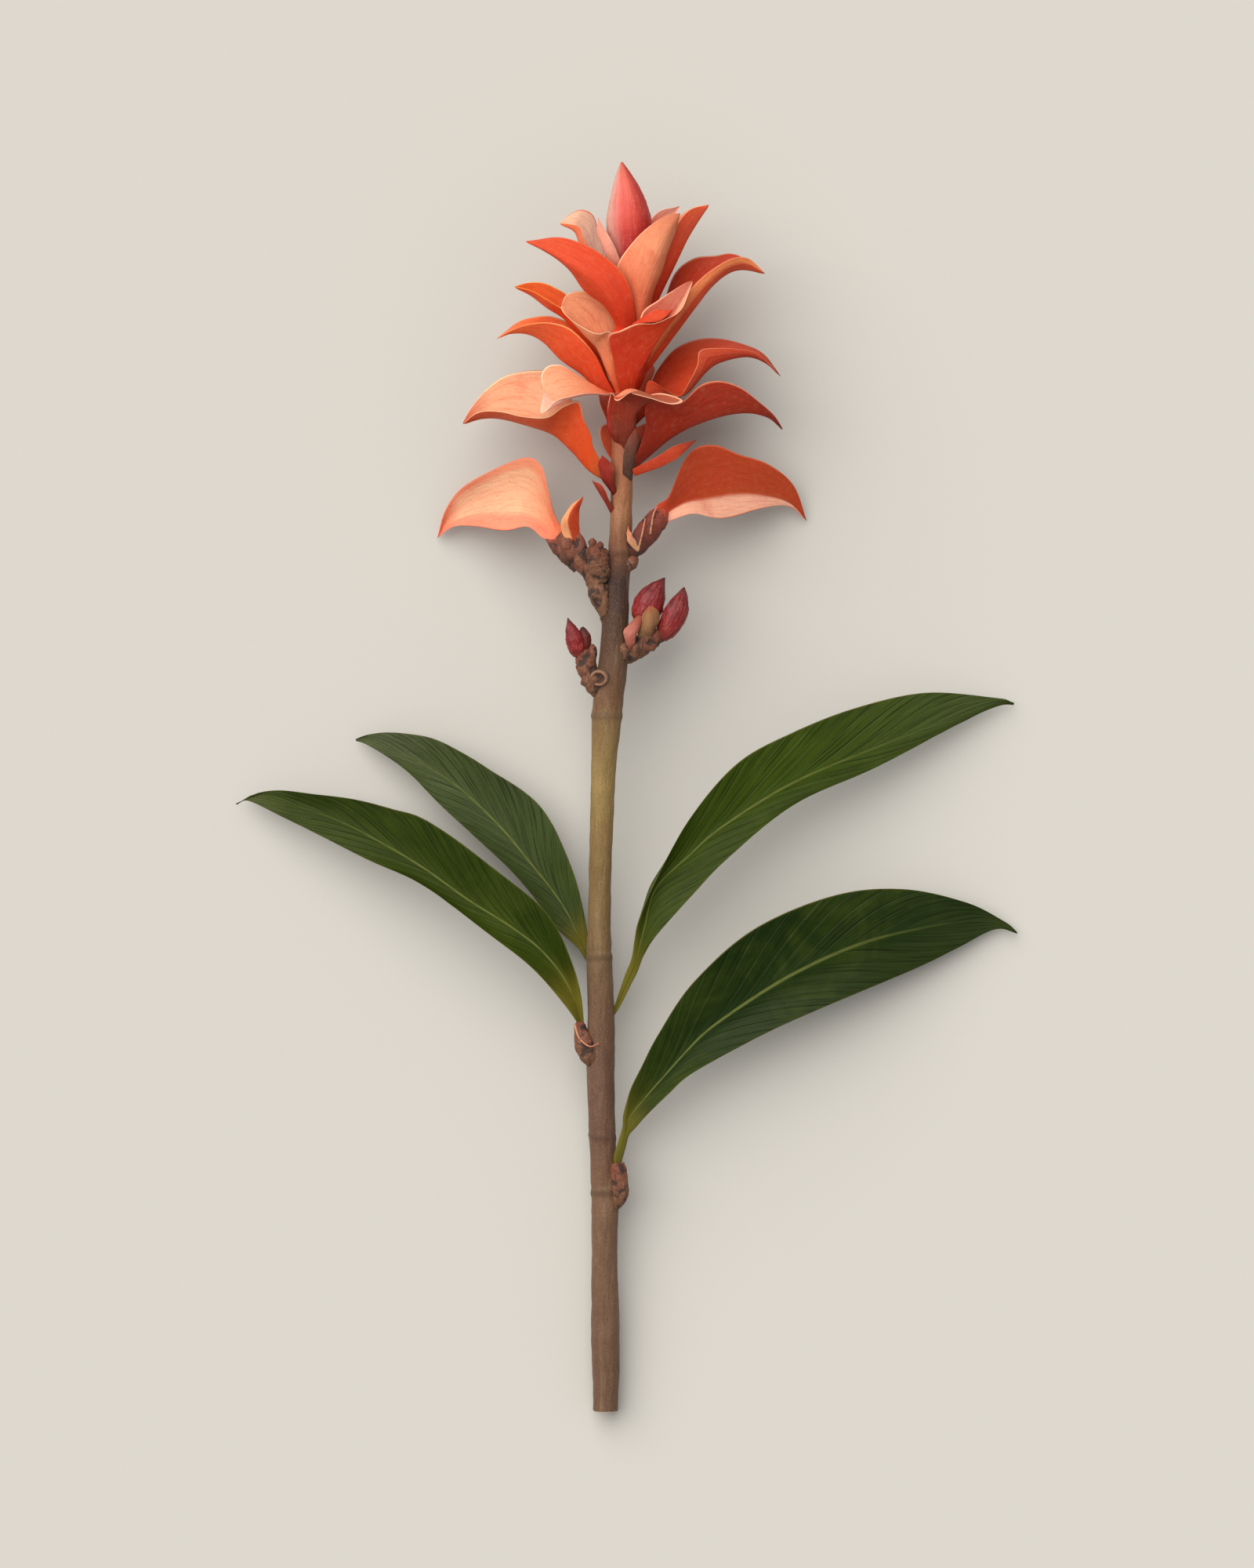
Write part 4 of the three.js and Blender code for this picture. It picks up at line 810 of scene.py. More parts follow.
def finish_of(name):
    """The material of a piece by its name, made once for the pieces that look alike."""
    if name in BRACTS:
        return bract_finish(name, **BRACTS[name])
    if name in LEAVES:
        return leaf_finish(name, **LEAVES[name])
    if name in BUDS:
        return bud_finish(name, **BUDS[name])
    if name in BARKS:
        return bark_finish(name, **BARKS[name])
    shared = SHARED.get(name) or SHARED.get(name.split("_")[0], "shoot")
    if bpy.data.materials.get(shared):
        return bpy.data.materials[shared]
    if shared == "bract":
        return bract_finish(shared, **CORAL)
    if shared == "bud":
        return bud_finish(shared, **CRIMSON)
    return bark_finish(shared, **{"dry": DRY, "sheath": SHEATH}.get(shared, SHOOT))


# ---- Leaves -------------------------------------------------------------------------------------------
def leaves():
    sheet("leaf_lower_left", foot=(-14.6, 180, 2),
          keel=[(-14.2, 184.5, 2), (-21.1, 204.9, 3), (-32.8, 220.7, 4), (-48.2, 232.9, 4), (-68.9, 246, 3),
              (-89.8, 260.8, 0), (-110.5, 273.1, -5), (-132.6, 284.1, -11), (-153.3, 290.8, -17),
              (-172, 295.4, -23)],
          near=[(-13, 184.9, 2.4), (-17.3, 211.7, 9), (-30.9, 239.9, 11), (-58.8, 263.3, 11),
              (-88.5, 283.6, 6), (-105.5, 289.6, 1), (-123.5, 294.5, -5), (-143.1, 297, -11),
              (-165, 298, -20)],
          far=[(-15.3, 184.3, 2.4), (-22.6, 195.7, 8), (-41.8, 216.2, 11), (-75.3, 240.7, 8),
              (-94.9, 253.9, 4), (-115.6, 264, -2), (-137.9, 275, -9), (-158.6, 284.7, -16),
              (-175.5, 292.8, -23)],
          tip=(-182.9, 290.8, -26), **LEAF)
    sheet("leaf_upper_left", foot=(-8.6, 211, -5),
          keel=[(-11.4, 217.5, -6.5), (-15.3, 226.4, -9), (-21.1, 238.8, -12), (-28.8, 250.5, -14),
              (-39.2, 263.4, -15), (-50.8, 277.6, -16), (-63.8, 290.8, -17), (-75.5, 301, -18),
              (-89.8, 310.1, -20), (-105.5, 317.9, -23), (-118, 323.5, -26)],
          near=[(-10.4, 219, -6.9), (-11.4, 230, -9), (-18.5, 260.6, -8), (-33.9, 290, -9),
              (-58.8, 308.9, -10), (-71.6, 317.1, -12), (-84.7, 323.2, -14), (-97.6, 325.4, -18),
              (-112, 325.8, -23)],
          far=[(-12.6, 216.4, -6.4), (-16.8, 222.8, -7.5), (-27, 232, -8.5), (-39.2, 248, -9),
              (-58.8, 268, -10), (-71.6, 281, -11), (-84.7, 293, -13), (-97.6, 305.1, -16),
              (-110.4, 315, -21), (-119, 320.6, -25)],
          tip=(-124.9, 322.6, -28), **LEAF)
    sheet("leaf_upper_right", foot=(0, 189, 0),
          keel=[(3.6, 196.8, 0), (7.8, 206, 1), (11.2, 214, 2.5), (13.4, 223, 3.5), (16, 233, 4.2),
              (21.5, 251.2, 5), (36.9, 266.7, 5), (53.1, 280.8, 5), (86.6, 301.7, 1), (126.9, 318.8, -9),
              (167.2, 333.9, -21), (188, 341, -27)],
          near=[(2.9, 199, 0.4), (6.4, 209.4, 1.5), (9.6, 217.6, 3.2), (11.2, 227, 5.4), (13.4, 237, 8),
              (21.8, 257, 11), (36.9, 285.5, 12), (59.9, 311.1, 9), (86.6, 325.8, 4), (117.5, 338.1, -5),
              (151, 345.4, -16), (184, 343.2, -25)],
          far=[(4.2, 194.4, 0.4), (9.2, 204.4, 1.5), (12.6, 211.2, 3), (15.6, 219, 5), (22, 229, 7.6),
              (39.5, 249, 11), (55.7, 265.2, 11), (89.3, 290.8, 5), (126.9, 308.9, -6), (167.2, 329.2, -20),
              (187, 338.9, -27)],
          tip=(196.6, 339.6, -29.5), **LEAF)
    sheet("leaf_lower_right", foot=(3.2, 113.5, 6),
          keel=[(2.9, 120.6, 5.6), (5, 127.8, 5), (6.8, 134.6, 4.5), (8.6, 141.5, 4.2), (16.6, 151.4, 4.4),
              (26, 162.1, 5), (36.9, 174.2, 5), (47.5, 184.3, 5), (67.8, 198.5, 4), (86.6, 209.8, 2),
              (108.1, 220, -2), (126.9, 226.7, -6), (147.3, 231.4, -11), (167.2, 234.7, -16),
              (185, 235, -20)],
          near=[(1, 121.8, 6.8), (2.8, 128.6, 6), (5.2, 136.6, 5.6), (6.2, 144, 6.6), (9, 155, 9),
              (14.6, 166.6, 10.4), (22.4, 181.5, 11), (39.5, 207.5, 12), (67.8, 232.3, 9), (107, 248.2, 1),
              (140.5, 251.2, -7), (171.4, 244.6, -15), (190.2, 234.9, -20.5)],
          far=[(4.9, 119.6, 3.8), (6.8, 126.6, 3.4), (8.5, 132.6, 3.6), (11.4, 136, 5), (17.6, 143, 8),
              (27.5, 152.4, 10), (39.5, 162.7, 11), (67.8, 178.2, 9), (107, 195.1, 2), (147.3, 212.1, -9),
              (167.2, 221.8, -15), (185.5, 230.9, -20)],
          tip=(197.6, 228.4, -22), **LEAF)


# ---- Joints on the stem: sheaths, buds and shoots -----------------------------------------------------
# Places of the finger tips on the left shoot's small bud, and their radius.
FINGERS = [(-9, 419.2, 4.6, 1.9), (-5.4, 417.6, 6.2, 1.7), (-3.2, 414.4, 4.2, 1.6), (-10.6, 414.8, 6, 1.6),
           (-6.8, 412.6, 8.4, 1.8)]
# Courses of the dry fibres: the pale curl on the left leaf's sheath, then two on the right shoot.
FIBRES = [[(-17.6, 186, 3.4), (-15.4, 179.6, 7.4), (-10.4, 175.6, 8.8), (-6, 177, 8)],
          [(12.8, 413.2, 7.6), (14.2, 418.6, 9), (15.4, 424, 9.2), (16.2, 428.6, 8)],
          [(18.6, 421, 9.2), (19.4, 426, 9.2), (20.2, 430.6, 8.2), (22, 434.6, 6.6)]]


def joints():
    stalk("leaf_base_left",
          spine=[(-8.6, 165.6, 2.4), (-10.6, 170.6, 3.6), (-12.6, 176, 3.6), (-14.6, 182.4, 2.6),
              (-15.2, 187, 2)],
          radii=[(0, 2), (0.24, 4.6), (0.5, 5), (0.75, 3.6), (0.95, 2.7), (1, 1.6)], flat=0.9, knots=0.5)
    stalk("leaf_base_right", spine=[(2.6, 98, 4), (4.4, 104, 5.6), (4, 111, 6.4), (3.2, 119.6, 6.6)],
          radii=[(0, 1.4), (0.2, 3.4), (0.5, 4.2), (0.85, 3.9), (1, 3)], flat=0.8, knots=0.4)
    # left bud: its stalk, the bud, and the dark scale behind it
    stalk("bud_stalk_left",
          spine=[(-4.4, 344, 1), (-8.6, 350.5, 2.4), (-11.6, 356.4, 2.4), (-12.4, 361, 1.5),
              (-13.6, 365.4, 1)],
          radii=[(0, 3), (0.2, 5.2), (0.42, 5.4), (0.5, 4.5), (0.75, 4.7), (0.9, 4.6), (1, 3)], flat=0.85,
          knots=0.9)
    stalk("bud_left",
          spine=[(-15.4, 362.8, 1.4), (-17.2, 369, 2), (-19.2, 375.4, 2), (-20.9, 381, 1.6)],
          radii=[(0, 2.6), (0.18, 4.2), (0.42, 4.5), (0.7, 3), (0.9, 1.1), (1, 0.25)], knots=0.3)
    stalk("bud_left_scale", spine=[(-14, 363.6, 0), (-12.8, 370, 0), (-14, 376.8, 0)],
          radii=[(0, 2.4), (0.3, 3.2), (0.65, 3.1), (0.9, 1.7), (1, 0.5)], flat=1.1, knots=0.3)
    stalk("twig_cup", spine=[(-9.6, 361, 0.5), (-9.2, 364.6, 0.8), (-9.4, 368.4, 0.6)],
          radii=[(0, 2.2), (0.4, 2.5), (0.8, 2), (1, 0.9)], flat=1.2, knots=0.5, node=False)
    stalk("twig_flap", spine=[(-11.4, 354.6, 2), (-14.4, 356.6, 3.2), (-17, 358, 3)],
          radii=[(0, 2.4), (0.5, 2.4), (0.85, 1.5), (1, 0.5)], knots=0.4, node=False)
    scar_ring("stem_scar_ring", centre=(-6, 352, 7.4), facing=(-0.3, -0.2, 0.9), radii=(3.7, 3.2), lip=1)
    # right buds: woody base, the two buds and their scales
    stalk("bud_base_right",
          spine=[(2, 361.6, 0.5), (7, 364.6, 2), (12.4, 367, 2.4), (18.6, 370.2, 2), (22.6, 374.6, 1.6)],
          radii=[(0, 4), (0.25, 5.4), (0.5, 5.2), (0.75, 4.8), (0.9, 4.6), (1, 3.4)], flat=0.9, knots=1.1,
          rough=0.2)
    stalk("bud_right_inner",
          spine=[(15.6, 377, 0), (17, 385, 0), (20.6, 392.6, 0), (25.6, 400.4, -0.5)],
          radii=[(0, 4), (0.2, 6.8), (0.42, 7.6), (0.64, 6), (0.82, 3.4), (0.94, 1.3), (1, 0.3)], flat=0.85,
          knots=0.3)
    stalk("bud_right_outer",
          spine=[(23.6, 371.6, 1.6), (28.4, 378.4, 2.4), (32.4, 387, 2), (35, 395.8, 1)],
          radii=[(0, 3.2), (0.16, 5), (0.45, 6), (0.68, 5), (0.86, 2.6), (0.95, 1.2), (1, 0.3)], flat=0.85,
          knots=0.4)
    sheet("bud_scale_tan", slot="scale_tan", foot=(15.6, 368, 4),
          keel=[(17.2, 371.6, 6), (17.8, 375, 9.4), (18.4, 381, 9.6)],
          near=[(12.6, 373.4, 5.4), (13.4, 378, 7.6), (14.6, 383, 8)],
          far=[(20.6, 372.4, 5.4), (22.8, 377, 7), (23.6, 382.4, 7.2)],
          tip=(18.6, 386.8, 7.6), round_=0.9, root=1.6)
    sheet("bud_scale_pink", slot="scale_tan",
          keel=[(14.6, 381.6, 6.4), (11.4, 377, 8.2), (9.4, 371, 8.6)],
          near=[(12.6, 382.6, 5.6), (8.4, 378.4, 7), (5.6, 373.6, 7.6)],
          far=[(15.4, 379.6, 6.4), (13.6, 374.6, 7.8), (11.8, 369.6, 8.2)],
          tip=(8.8, 364.6, 7.4), round_=0.8, root=1.5)
    # left shoot: trunk, the finger-like bud in its fork, and the sheath that carries the bract
    stalk("shoot_left",
          spine=[(-1, 377, 0.5), (-3.2, 386, 1.8), (-6.4, 395, 2.4), (-10, 402.6, 2), (-15.4, 410.6, 1),
              (-21, 416.6, 0.6), (-25.6, 420.6, 0)],
          radii=[(0, 2.4), (0.17, 4.3), (0.34, 5.6), (0.41, 4.4), (0.5, 4.2), (0.66, 5.4), (0.8, 6.3),
              (0.9, 5.6), (0.97, 4), (1, 2.2)], flat=0.8, knots=0.9, rough=0.3)
    stalk("shoot_left_bud", spine=[(-4.4, 398.6, 3), (-6.2, 405, 5), (-6.8, 411, 5.4), (-7.2, 416.4, 4.6)],
          radii=[(0, 3.6), (0.25, 4.9), (0.6, 5), (0.85, 3.6), (1, 1.4)], flat=0.85, knots=0.7, rough=0.3,
          node=False)
    stalk("sheath_left_inner",
          spine=[(-12.6, 404, 3), (-13.8, 411, 4), (-15.2, 418, 3.2), (-16.8, 423.4, 2)],
          radii=[(0, 2.4), (0.4, 3.4), (0.8, 2), (1, 0.4)], flat=0.6, knots=0.5, node=False)
    stalk("sheath_left_outer",
          spine=[(-15.6, 405, 1), (-21, 410.8, 2), (-26.4, 415.2, 1.8), (-31.6, 419.6, 0.4)],
          radii=[(0, 3), (0.35, 4), (0.7, 3.2), (1, 0.5)], flat=0.6, knots=0.5, node=False)
    for number, (x, y, z, size) in enumerate(FINGERS, 1):
        stalk(f"shoot_left_finger_{number}",
              spine=[(x * 0.7 - 2.2, y - 6.5, z - 1.6), (x, y - 2.6, z), (x * 1.02, y, z * 0.96)],
              radii=[(0, size), (0.5, size * 1.05), (0.8, size * 1.1), (1, size * 0.35)], knots=0.3,
              along=30, around=24, node=False)
    # right shoot: boat-shaped sheath, its papery edge and two dry fibres
    stalk("shoot_right",
          spine=[(9.4, 410.6, 1.4), (12.6, 415.8, 3), (16.6, 421.4, 3), (21, 427, 2.4), (26, 432.6, 1.6)],
          radii=[(0, 2), (0.15, 4.4), (0.4, 5.6), (0.7, 5.8), (0.88, 4.8), (1, 2)], flat=0.85, knots=0.5)
    stalk("knob_right", spine=[(6.4, 405, 1), (9.4, 407.6, 1.8), (11.4, 410.8, 2)],
          radii=[(0, 2.6), (0.5, 3.6), (1, 2)], knots=0.5)
    for number, line in enumerate(FIBRES, 1):
        stalk(f"fibre_{number}", spine=line, radii=[(0, 0.5), (0.7, 0.42), (1, 0.2)], around=10, along=30,
              rough=0.1, node=False)
    sheet("paper_edge", slot="scale_tan",
          keel=[(13.4, 413.4, 6.4), (10.4, 416.8, 7.2), (8, 421, 6.6)],
          near=[(12.6, 412.2, 6.6), (9.4, 415, 7.6), (7.2, 418.8, 7.2)],
          far=[(14.2, 415, 6.2), (11.6, 418.6, 6.8), (9, 422.6, 6)],
          tip=(8, 425, 4.8), round_=0.8, thickness=0.5, node=False, along=30, across=16)


def scar_ring(name, centre, facing, radii, lip):
    """The raised oval rim that a fallen shoot leaves, with its dark hollow."""
    forward = unit(np.array(facing, float))
    side = unit(np.cross((0, 1, 0), forward))
    up = np.cross(forward, side)
    profile = [(0.05, -0.4), (0.5, -0.5), (0.72, -0.2), (0.86, 0.5), (1.0, 0.75), (1.14, 0.5), (1.25, -0.2),
               (1.3, -1.6)]
    angle = np.arange(48) * math.tau / 48
    rings = np.array([centre + side * np.cos(angle)[:, None] * radii[0] * reach
                      + up * np.sin(angle)[:, None] * radii[1] * reach + forward * out * lip
                      for reach, out in reversed(profile)])
    rings += (ripple(rings, 0.8, 0.25))[..., None] * forward
    t = np.linspace(0, 1, len(profile))
    lathe(name, rings, t, np.zeros(len(profile)), node=False)


# ---- Bracts and centre bud ----------------------------------------------------------------------------
def head():
    sheet("bract_lower_left", foot=(-20, 414, 0), inward=(0, 0, 1),
          keel=[(-25.3, 420.2, 0), (-28, 426, -2.5), (-34, 435, -5), (-43, 441, -10), (-55, 441, -18),
              (-68, 437, -28.5), (-79, 430, -35.5)],
          near=[(-21.8, 421.8, 0.4), (-27, 431, 2.2), (-30, 444, 4), (-33.5, 455.5, 3), (-41, 459.6, -1),
              (-56, 454.8, -13), (-72, 446, -25.5), (-80.5, 434.5, -33)],
          far=[(-28.7, 417.9, 1.5), (-33, 419, 0), (-40.3, 423.8, -4), (-51.6, 422.2, -13),
              (-66.7, 425.4, -25), (-76.5, 425.6, -31.5)],
          tip=(-84.9, 420.5, -37), round_=0.6, root=2)
    sheet("horn_left", foot=(-17.6, 415, 3),
          keel=[(-18.8, 421.8, 4.4), (-20, 428, 7.6), (-17.6, 434, 8.2)],
          near=[(-15.2, 423, 3), (-15.6, 428, 5), (-14.8, 434, 6.5)],
          far=[(-23.6, 421.4, 4.6), (-24, 427.6, 6.4), (-20, 434, 7.4)],
          tip=(-13.4, 439.2, 7.5), round_=0.2, root=1.5)
    sheet("bract_lower_right", foot=(19.5, 424.5, 1.5), inward=(0, 0, 1),
          keel=[(25.4, 431.2, 1.5), (34, 437.5, -2), (43, 440.7, -6), (57.3, 443.7, -13), (71.6, 443, -22),
              (86.1, 438.5, -32)],
          near=[(21.6, 434.9, 2), (27.5, 439.4, 4.5), (33.5, 454, 4.5), (40, 462.6, 1.5), (50, 464.6, -4),
              (61.8, 460.4, -11), (76, 456, -20), (88.5, 446, -31)],
          far=[(27.8, 427, 2), (33, 429.2, 1.5), (40, 430.8, -0.5), (50, 428.7, -6), (58, 429.5, -11),
              (71.6, 433.9, -20), (86, 436, -31.5)],
          tip=(95.2, 428.8, -38), round_=0.3, root=2)
    bract("bract_left_4", seat=(446, 184, -32),
          keel=[(-10, 451.6, 0), (-18.4, 460.6, 0), (-28.4, 469.6, 0), (-39.5, 474.6, 0),
              (-52.4, 477.6, -1), (-62, 477.4, -2)],
          near=[(-8.2, 461, 7), (-10, 468, 9.5), (-13.4, 475, 11.5), (-15.8, 483.2, 12.6),
              (-22.6, 480.8, 16.5), (-30.4, 475.2, 19), (-42.2, 476.2, 16), (-52.4, 478.7, 11),
              (-63.7, 479, 4)],
          far=[(-11, 464, -7), (-19, 484, -13), (-24.5, 500, -15.6), (-34, 501, -16.6), (-43, 500.2, -16),
              (-52.4, 497.2, -13), (-61, 490.4, -8), (-67.6, 482, -4)],
          tip=(-71.8, 474.4, -3), round_=0.4)
    bract("bract_right_4", slot="bract_dark", seat=(452, 15, 35),
          keel=[(20.3, 461, 1), (27.9, 467.2, 1), (36.9, 472.2, 1), (47.1, 476.4, 0), (57.3, 479.2, -1),
              (67.4, 479.8, -2), (76.5, 477.2, -3)],
          near=[(13.4, 462, 8), (16.6, 472, 10.4), (16.2, 480, 11.4), (18.6, 484.4, 12.4),
              (26, 483.9, 12.8), (33, 483.6, 12.4), (37.4, 487, 11.6), (42.4, 491.6, 9.8), (48.2, 493.8, 9),
              (54.6, 493.8, 8), (62.5, 491, 6), (71.2, 484.6, 2), (78, 478.5, -1)],
          far=[(15, 462, -8), (20, 474, -13), (30, 483, -15), (42, 488, -15), (54, 489, -13),
              (64, 487, -10), (74, 480, -6)],
          tip=(82.6, 471.6, -4), round_=0.3)
    sheet("strap_right", slot="bract_dark",
          keel=[(10.6, 450.4, 6), (17, 453.2, 8.6), (24.5, 456.6, 9), (31.5, 460.8, 8.6)],
          near=[(10, 452.4, 6.4), (16, 455.4, 8.8), (23.2, 459.2, 9.2), (30, 463.4, 8.8)],
          far=[(11.4, 448.8, 5.6), (18.2, 451, 8), (26, 454, 8.4), (33.4, 458.6, 8)],
          tip=(41.2, 466.4, 8), round_=0.6, root=1.3)
    bract("bract_front", seat=(462, 74, 66),
          keel=[(8.6, 468.5, 7.6), (8.4, 477, 9.6), (8.8, 485, 12), (9.8, 489.7, 16.5)],
          near=[(-1.6, 470, 6.4), (-2.4, 478, 7.6), (-3.8, 484.4, 9.6), (-5.4, 487, 13), (-3, 486.8, 19)],
          far=[(13.6, 468.6, 6.4), (15, 477, 8), (16.6, 482.6, 11), (24, 485.4, 14.6), (33.6, 484.8, 18),
              (29, 484.4, 22.5)],
          tip=(9.6, 487.7, 27), round_=0.9)
    bract("bract_left_front", seat=(487, 148, -20),
          keel=[(-3.6, 488.2, 9.4), (-12, 489, 13.4), (-21, 488, 16.4), (-27, 487.4, 17.6)],
          near=[(-2, 487.4, 11.6), (-9, 486.8, 16.4), (-16, 485, 19.4), (-23.4, 481.6, 21.6),
              (-30.4, 476.8, 22.4)],
          far=[(-3, 489.6, 8), (-9.6, 493.6, 8.6), (-16.4, 498.4, 9), (-23.6, 502, 9.4), (-30, 500.2, 10.4)],
          tip=(-32.2, 488.4, 17.6), round_=0.8)
    bract("bract_left_3", seat=(484, 180, -40),
          keel=[(-7.5, 491.5, 0), (-14, 498, 0), (-24, 505, 0), (-32, 513.2, 0), (-39.5, 517.4, 0),
              (-48.6, 517.9, 0)],
          near=[(-2.6, 495.7, 8.5), (-8.7, 507.4, 12), (-19.2, 518, 13), (-30, 522, 11), (-40, 521.4, 6.5),
              (-48, 518.8, 2.5)],
          far=[(-1.6, 497, -8.5), (-7, 511, -12.5), (-17, 521.6, -15), (-28, 526.6, -15), (-36.9, 526, -11),
              (-46, 523, -6)],
          tip=(-55.5, 515.1, 0), round_=0.3)
    bract("bract_right_3", slot="bract_dark", seat=(474, 8, 38),
          keel=[(20, 482, 4.8), (29, 485.2, 4.6), (38, 492, 4.8), (45, 499, 5.4), (52.1, 503.6, 6),
              (64.9, 506.4, 4), (74.5, 503.4, 2)],
          near=[(15.4, 486.2, 8.4), (18.2, 494.2, 10.8), (25.4, 490, 14), (32.6, 486.2, 16),
              (37.2, 493, 15), (41.4, 501.6, 13), (42.6, 508.4, 11.4), (50, 509.8, 10), (60, 509.6, 7.5),
              (70, 507.6, 5)],
          far=[(17, 489, -8), (22.5, 501, -13), (30.5, 511, -16), (42, 515.8, -16), (53.4, 516.2, -13),
              (64, 513, -9), (73.4, 507.6, -4.6)],
          tip=(81.6, 496.9, 0), round_=0.3)
    bract("bract_right_2", slot="bract_dark", seat=(494, 5, 35),
          keel=[(20.8, 504.4, 3), (30.6, 517.4, 4), (39.7, 529.8, 5), (47.4, 539.6, 5), (56.1, 546.4, 5),
              (64, 548.2, 4)],
          near=[(16.6, 506, 8), (25, 519, 11), (34, 530.5, 12.5), (41, 539.6, 13), (50, 547.6, 12),
              (58, 552.6, 9.5), (66, 552.8, 6)],
          far=[(17, 508, -8), (24, 528, -13), (30.5, 546, -14), (39.5, 554.2, -13), (49.7, 555.4, -9),
              (60, 555.2, -3)],
          tip=(74, 546.2, 3), round_=0.45)
    bract("bract_left_2", seat=(500, 192, -35),
          keel=[(-11, 512.6, -8), (-22, 525.4, -13.4), (-31, 531.6, -15), (-39, 537.6, -15.5)],
          near=[(-8, 515, -2), (-19, 525.4, -4), (-27.4, 531.6, -6.4), (-36, 537, -9), (-43, 539.8, -11.4)],
          far=[(-9, 521, -15), (-20, 536, -20), (-28, 541, -20), (-34, 543.2, -19), (-40.6, 543.2, -16.4)],
          tip=(-47, 541.2, -13), round_=0.5)
    bract("bract_cup_left", seat=(487.5, 135, -32),
          keel=[(-2.4, 500, 7.6), (-6.4, 509.6, 8.4), (-12, 517.6, 9.4), (-18, 525.4, 10.6)],
          near=[(1.8, 499, 10), (-0.4, 508.4, 14.4), (-3.4, 513.6, 17.6), (-8, 513, 19), (-13, 514.6, 18.8),
              (-19.4, 519.6, 17)],
          far=[(-2, 503, 3.6), (0.6, 513, 3.2), (1.4, 523, 4), (-5, 532.4, 5.4), (-13, 536.6, 6.6),
              (-20.6, 535.2, 8.6)],
          tip=(-24.2, 530, 12), round_=0.8)
    bract("bract_cup_right", seat=(485.5, 65, 46),
          keel=[(12, 497, 12.5), (18.4, 508, 17.5), (27, 520, 21.5), (33.6, 530, 21)],
          near=[(2.6, 494.5, 9.5), (0.8, 504.5, 15), (-1.4, 514.4, 20.6), (5, 517, 24.4), (13, 519.9, 27.4),
              (21, 520.4, 28), (27.4, 523, 27), (32, 525.2, 25.6), (35.6, 530, 23)],
          far=[(16.8, 497, 8), (17.4, 509, 12.6), (14.4, 517.4, 18.8), (15.6, 526.4, 20.4), (22.4, 532, 20),
              (29.6, 537.2, 18.4), (35.4, 540.8, 17.4)],
          tip=(38.8, 541.8, 17), round_=0.45)
    # small tongue lying inside the cup, and the dry sheath under the foot of the front bract
    sheet("bract_cup_tongue",
          keel=[(10, 520.6, 24.5), (16, 522.4, 23.6), (22, 525, 22.6)],
          near=[(10.2, 520.2, 24.8), (16, 521, 24.6), (23.6, 522, 24)],
          far=[(10.2, 520.9, 24), (15, 524.2, 22.6), (21, 527.6, 21.6)],
          tip=(29.4, 527.4, 21.6), along=24, across=10, node=False)
    bract("sheath_front", slot="shoot_brown", seat=(447, 36, 50),
          keel=[(9.6, 454, 6.4), (11, 461, 8.2), (12, 466, 9.4)],
          near=[(5.4, 454, 7.6), (6, 461, 9.4), (8.4, 467, 10.6)],
          far=[(11.4, 454, 2), (13, 460.6, 3.4), (14.4, 465.6, 5.4)],
          tip=(11.6, 471.6, 11), along=30, across=16, node=False)
    bract("bract_front_left", seat=(502, 122, 40),
          keel=[(4.6, 513, 11), (6, 520.6, 15), (2.4, 529, 20), (-5.4, 539, 24), (-17, 548, 25),
              (-30, 556, 21.5)],
          near=[(-0.6, 515, 8.6), (1.6, 520.6, 11), (-4.4, 529.6, 15), (-13.4, 536.4, 16.5),
              (-20.6, 545.6, 17), (-26.4, 551.8, 16.4), (-33.4, 556.8, 15.5)],
          far=[(9, 513, 9.5), (11.6, 523, 14), (9.8, 536, 19), (4.4, 546.8, 20), (-5, 555, 18.6),
              (-15.6, 560, 16.6), (-27, 562.8, 15)],
          tip=(-41.3, 560.9, 15), round_=0.5)
    bract("bract_front_right", seat=(512, 62, 40),
          keel=[(13, 524, 12), (14.6, 534, 15), (18, 546, 18.5), (22.5, 557, 19.5), (27.5, 567, 18.5)],
          near=[(7.8, 525, 9), (5, 536, 12), (2.6, 548, 13.4), (8, 557.6, 15), (16, 566.6, 16),
              (25, 572.4, 15.6)],
          far=[(18, 524, 8.6), (22, 536, 10.6), (26.6, 547, 13.5), (29.4, 559, 15.2), (31.8, 568, 15.6)],
          tip=(33.2, 574, 15.5), round_=0.7)
    bract("bract_right_1", slot="bract_dark", seat=(516, -10, 42),
          keel=[(19, 527, -1), (25, 539.6, -1), (31.4, 552.8, 0), (36.4, 563, 1), (41.6, 571.6, 2)],
          near=[(15, 530, 6), (18.6, 541, 8.6), (23.6, 553, 10.6), (30, 566, 10.6), (37, 575.8, 7.6)],
          far=[(14, 532, -9), (18, 545, -13), (24, 560, -13), (32, 572.6, -9), (39, 577.6, -3)],
          tip=(46.9, 579.4, 3), round_=0.45)
    bract("bract_back_right", seat=(532, -62, 40),
          keel=[(16, 548, -13), (21, 561, -18), (27, 573, -20)],
          near=[(17, 551, -8.5), (24, 563, -14.6), (30.5, 574.6, -16.5)],
          far=[(9, 551, -13), (14, 565, -18), (22, 577, -19)],
          tip=(33, 580.8, -19), round_=0.7)
    bract("bract_left_1", seat=(524, 184, -42),
          keel=[(-5.5, 541, 0), (-11, 552, -1), (-15.4, 562, -1), (-18, 567.4, 0)],
          near=[(-3.5, 543, 6), (-8.8, 553, 8), (-13.4, 561.6, 7), (-16, 567.8, 4)],
          far=[(-2, 547, -9), (-5, 562, -13), (-8.4, 574, -12), (-14.6, 577.2, -8), (-20.6, 574.6, -4)],
          tip=(-25, 570.6, 0), round_=0.5)
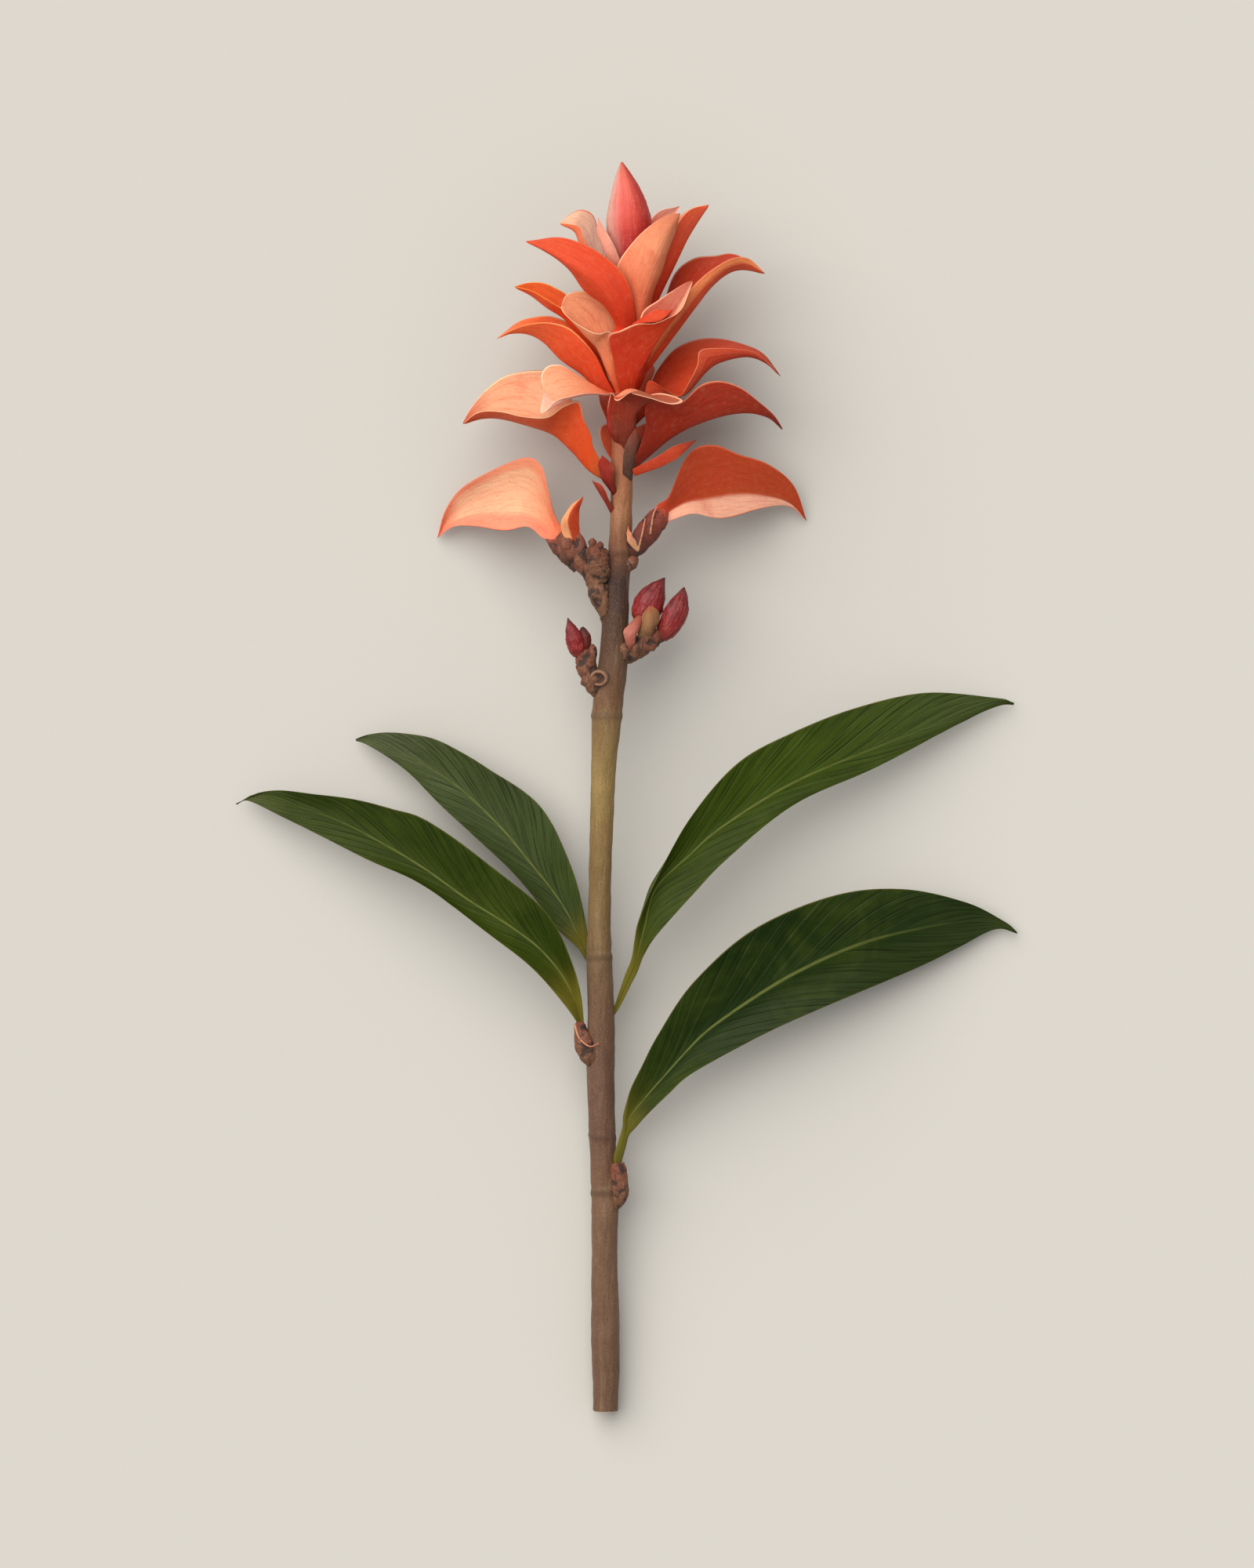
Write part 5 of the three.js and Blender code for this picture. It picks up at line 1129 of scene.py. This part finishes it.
    bract("bract_inner_left", seat=(536, 135, 42),
          keel=[(2.6, 547, 8.2), (-1.6, 556, 10.4), (-4.8, 565, 9)],
          near=[(-1, 548, 5.4), (-4.4, 556, 7.4), (-7, 566, 6.4)],
          far=[(6, 547, 9), (3.4, 555, 11.4), (-1, 563.6, 11)],
          tip=(-6.4, 573, 5), round_=0.8)
    stalk("centre_bud",
          spine=[(9, 544.4, 0), (9.2, 557, 0), (8.6, 568.7, 0), (7.4, 583, 0), (5.9, 593, 0), (4.9, 600, 0)],
          radii=[(0, 5.2), (0.1, 8.2), (0.22, 10.2), (0.42, 11.1), (0.52, 10.8), (0.66, 8.9), (0.8, 6.1),
              (0.9, 3.6), (0.97, 1.5), (1, 0.5)])
    bract("scale_left_upper", slot="bract_dark", seat=(440, 140, -24),
          keel=[(-1.4, 447, 7.5), (-2.8, 454, 8)],
          near=[(1.2, 447, 8.4), (0.8, 454, 8.6)],
          far=[(-4.6, 447, 4.6), (-6.4, 454, 5)],
          tip=(-4.6, 459, 7))
    bract("scale_left_lower", slot="bract_dark", seat=(431.5, 165, -34),
          keel=[(-3.4, 437.6, 3), (-6, 442, 4)],
          near=[(-1.4, 438, 6.4), (-3.6, 443.6, 7)],
          far=[(-3.6, 439, -1), (-6.8, 443.6, 1)],
          tip=(-9.3, 447.2, 4))


# ---- Bracts on the back of the head -------------------------------------------------------------------
# Height and azimuth of the foot, reach from the axis, rise, half width.
BACK_BRACTS = [
    (520, 274, 33, 27, 7.5),
    (511, 236, 34, 26, 9.5),
    (501, 278, 40, 26, 11.5),
    (489, 261, 42, 25, 8),
    (477, 281, 44, 25, 11.5),
    (465, 261, 46, 24, 9.5),
    (452, 274, 44, 22, 13)]
BACK_SEAT = 36  # half the angle that such a bract's foot takes round the stem


def back_bract(name, height, azimuth, reach, rise, half_width):
    angle = math.radians(azimuth)
    centre = np.interp(height, STEM[:, 0], STEM[:, 1])

    def at(out, up, aside):
        return (centre + math.cos(angle) * out - math.sin(angle) * aside, height + up,
                math.sin(angle) * out + math.cos(angle) * aside)

    def margin(side):
        return [at(reach * 0.25, rise * 0.5, side * 0.75), at(reach * 0.45, rise * 0.9, side),
                at(reach * 0.74, rise * 1.08, side * 0.7)]

    bract(name, seat=(height, azimuth, BACK_SEAT),
          keel=[at(reach * out, rise * up, 0) for out, up in ((0.33, 0.36), (0.58, 0.72), (0.82, 0.95))],
          near=margin(half_width), far=margin(-half_width), tip=at(reach, rise * 0.94, 0))


# ---- Floor --------------------------------------------------------------------------------------------
def add_floor():
    mesh = bpy.data.meshes.new("floor")
    far = FLOOR_SIZE / 2
    mesh.from_pydata([(-far, -far, 0), (far, -far, 0), (far, far, 0), (-far, far, 0)], [], [(0, 1, 2, 3)])
    look = Look("floor")
    look.colour = rgb(*FLOOR)
    mesh.materials.append(look.finish(0.9, look.bump(look.noise(look.place(), 500, 2), 0.02, 0.0002)))
    floor = bpy.data.objects.new("floor", mesh)
    floor.location.z = -FLOOR_GAP
    bpy.context.scene.collection.objects.link(floor)


def main():
    bpy.context.scene.view_settings.view_transform = "Standard"
    add_camera()
    add_lights()
    add_floor()
    main_stem()
    leaves()
    joints()
    head()
    for number, row in enumerate(BACK_BRACTS, 1):
        back_bract(f"bract_back_{number}", *row)


main()
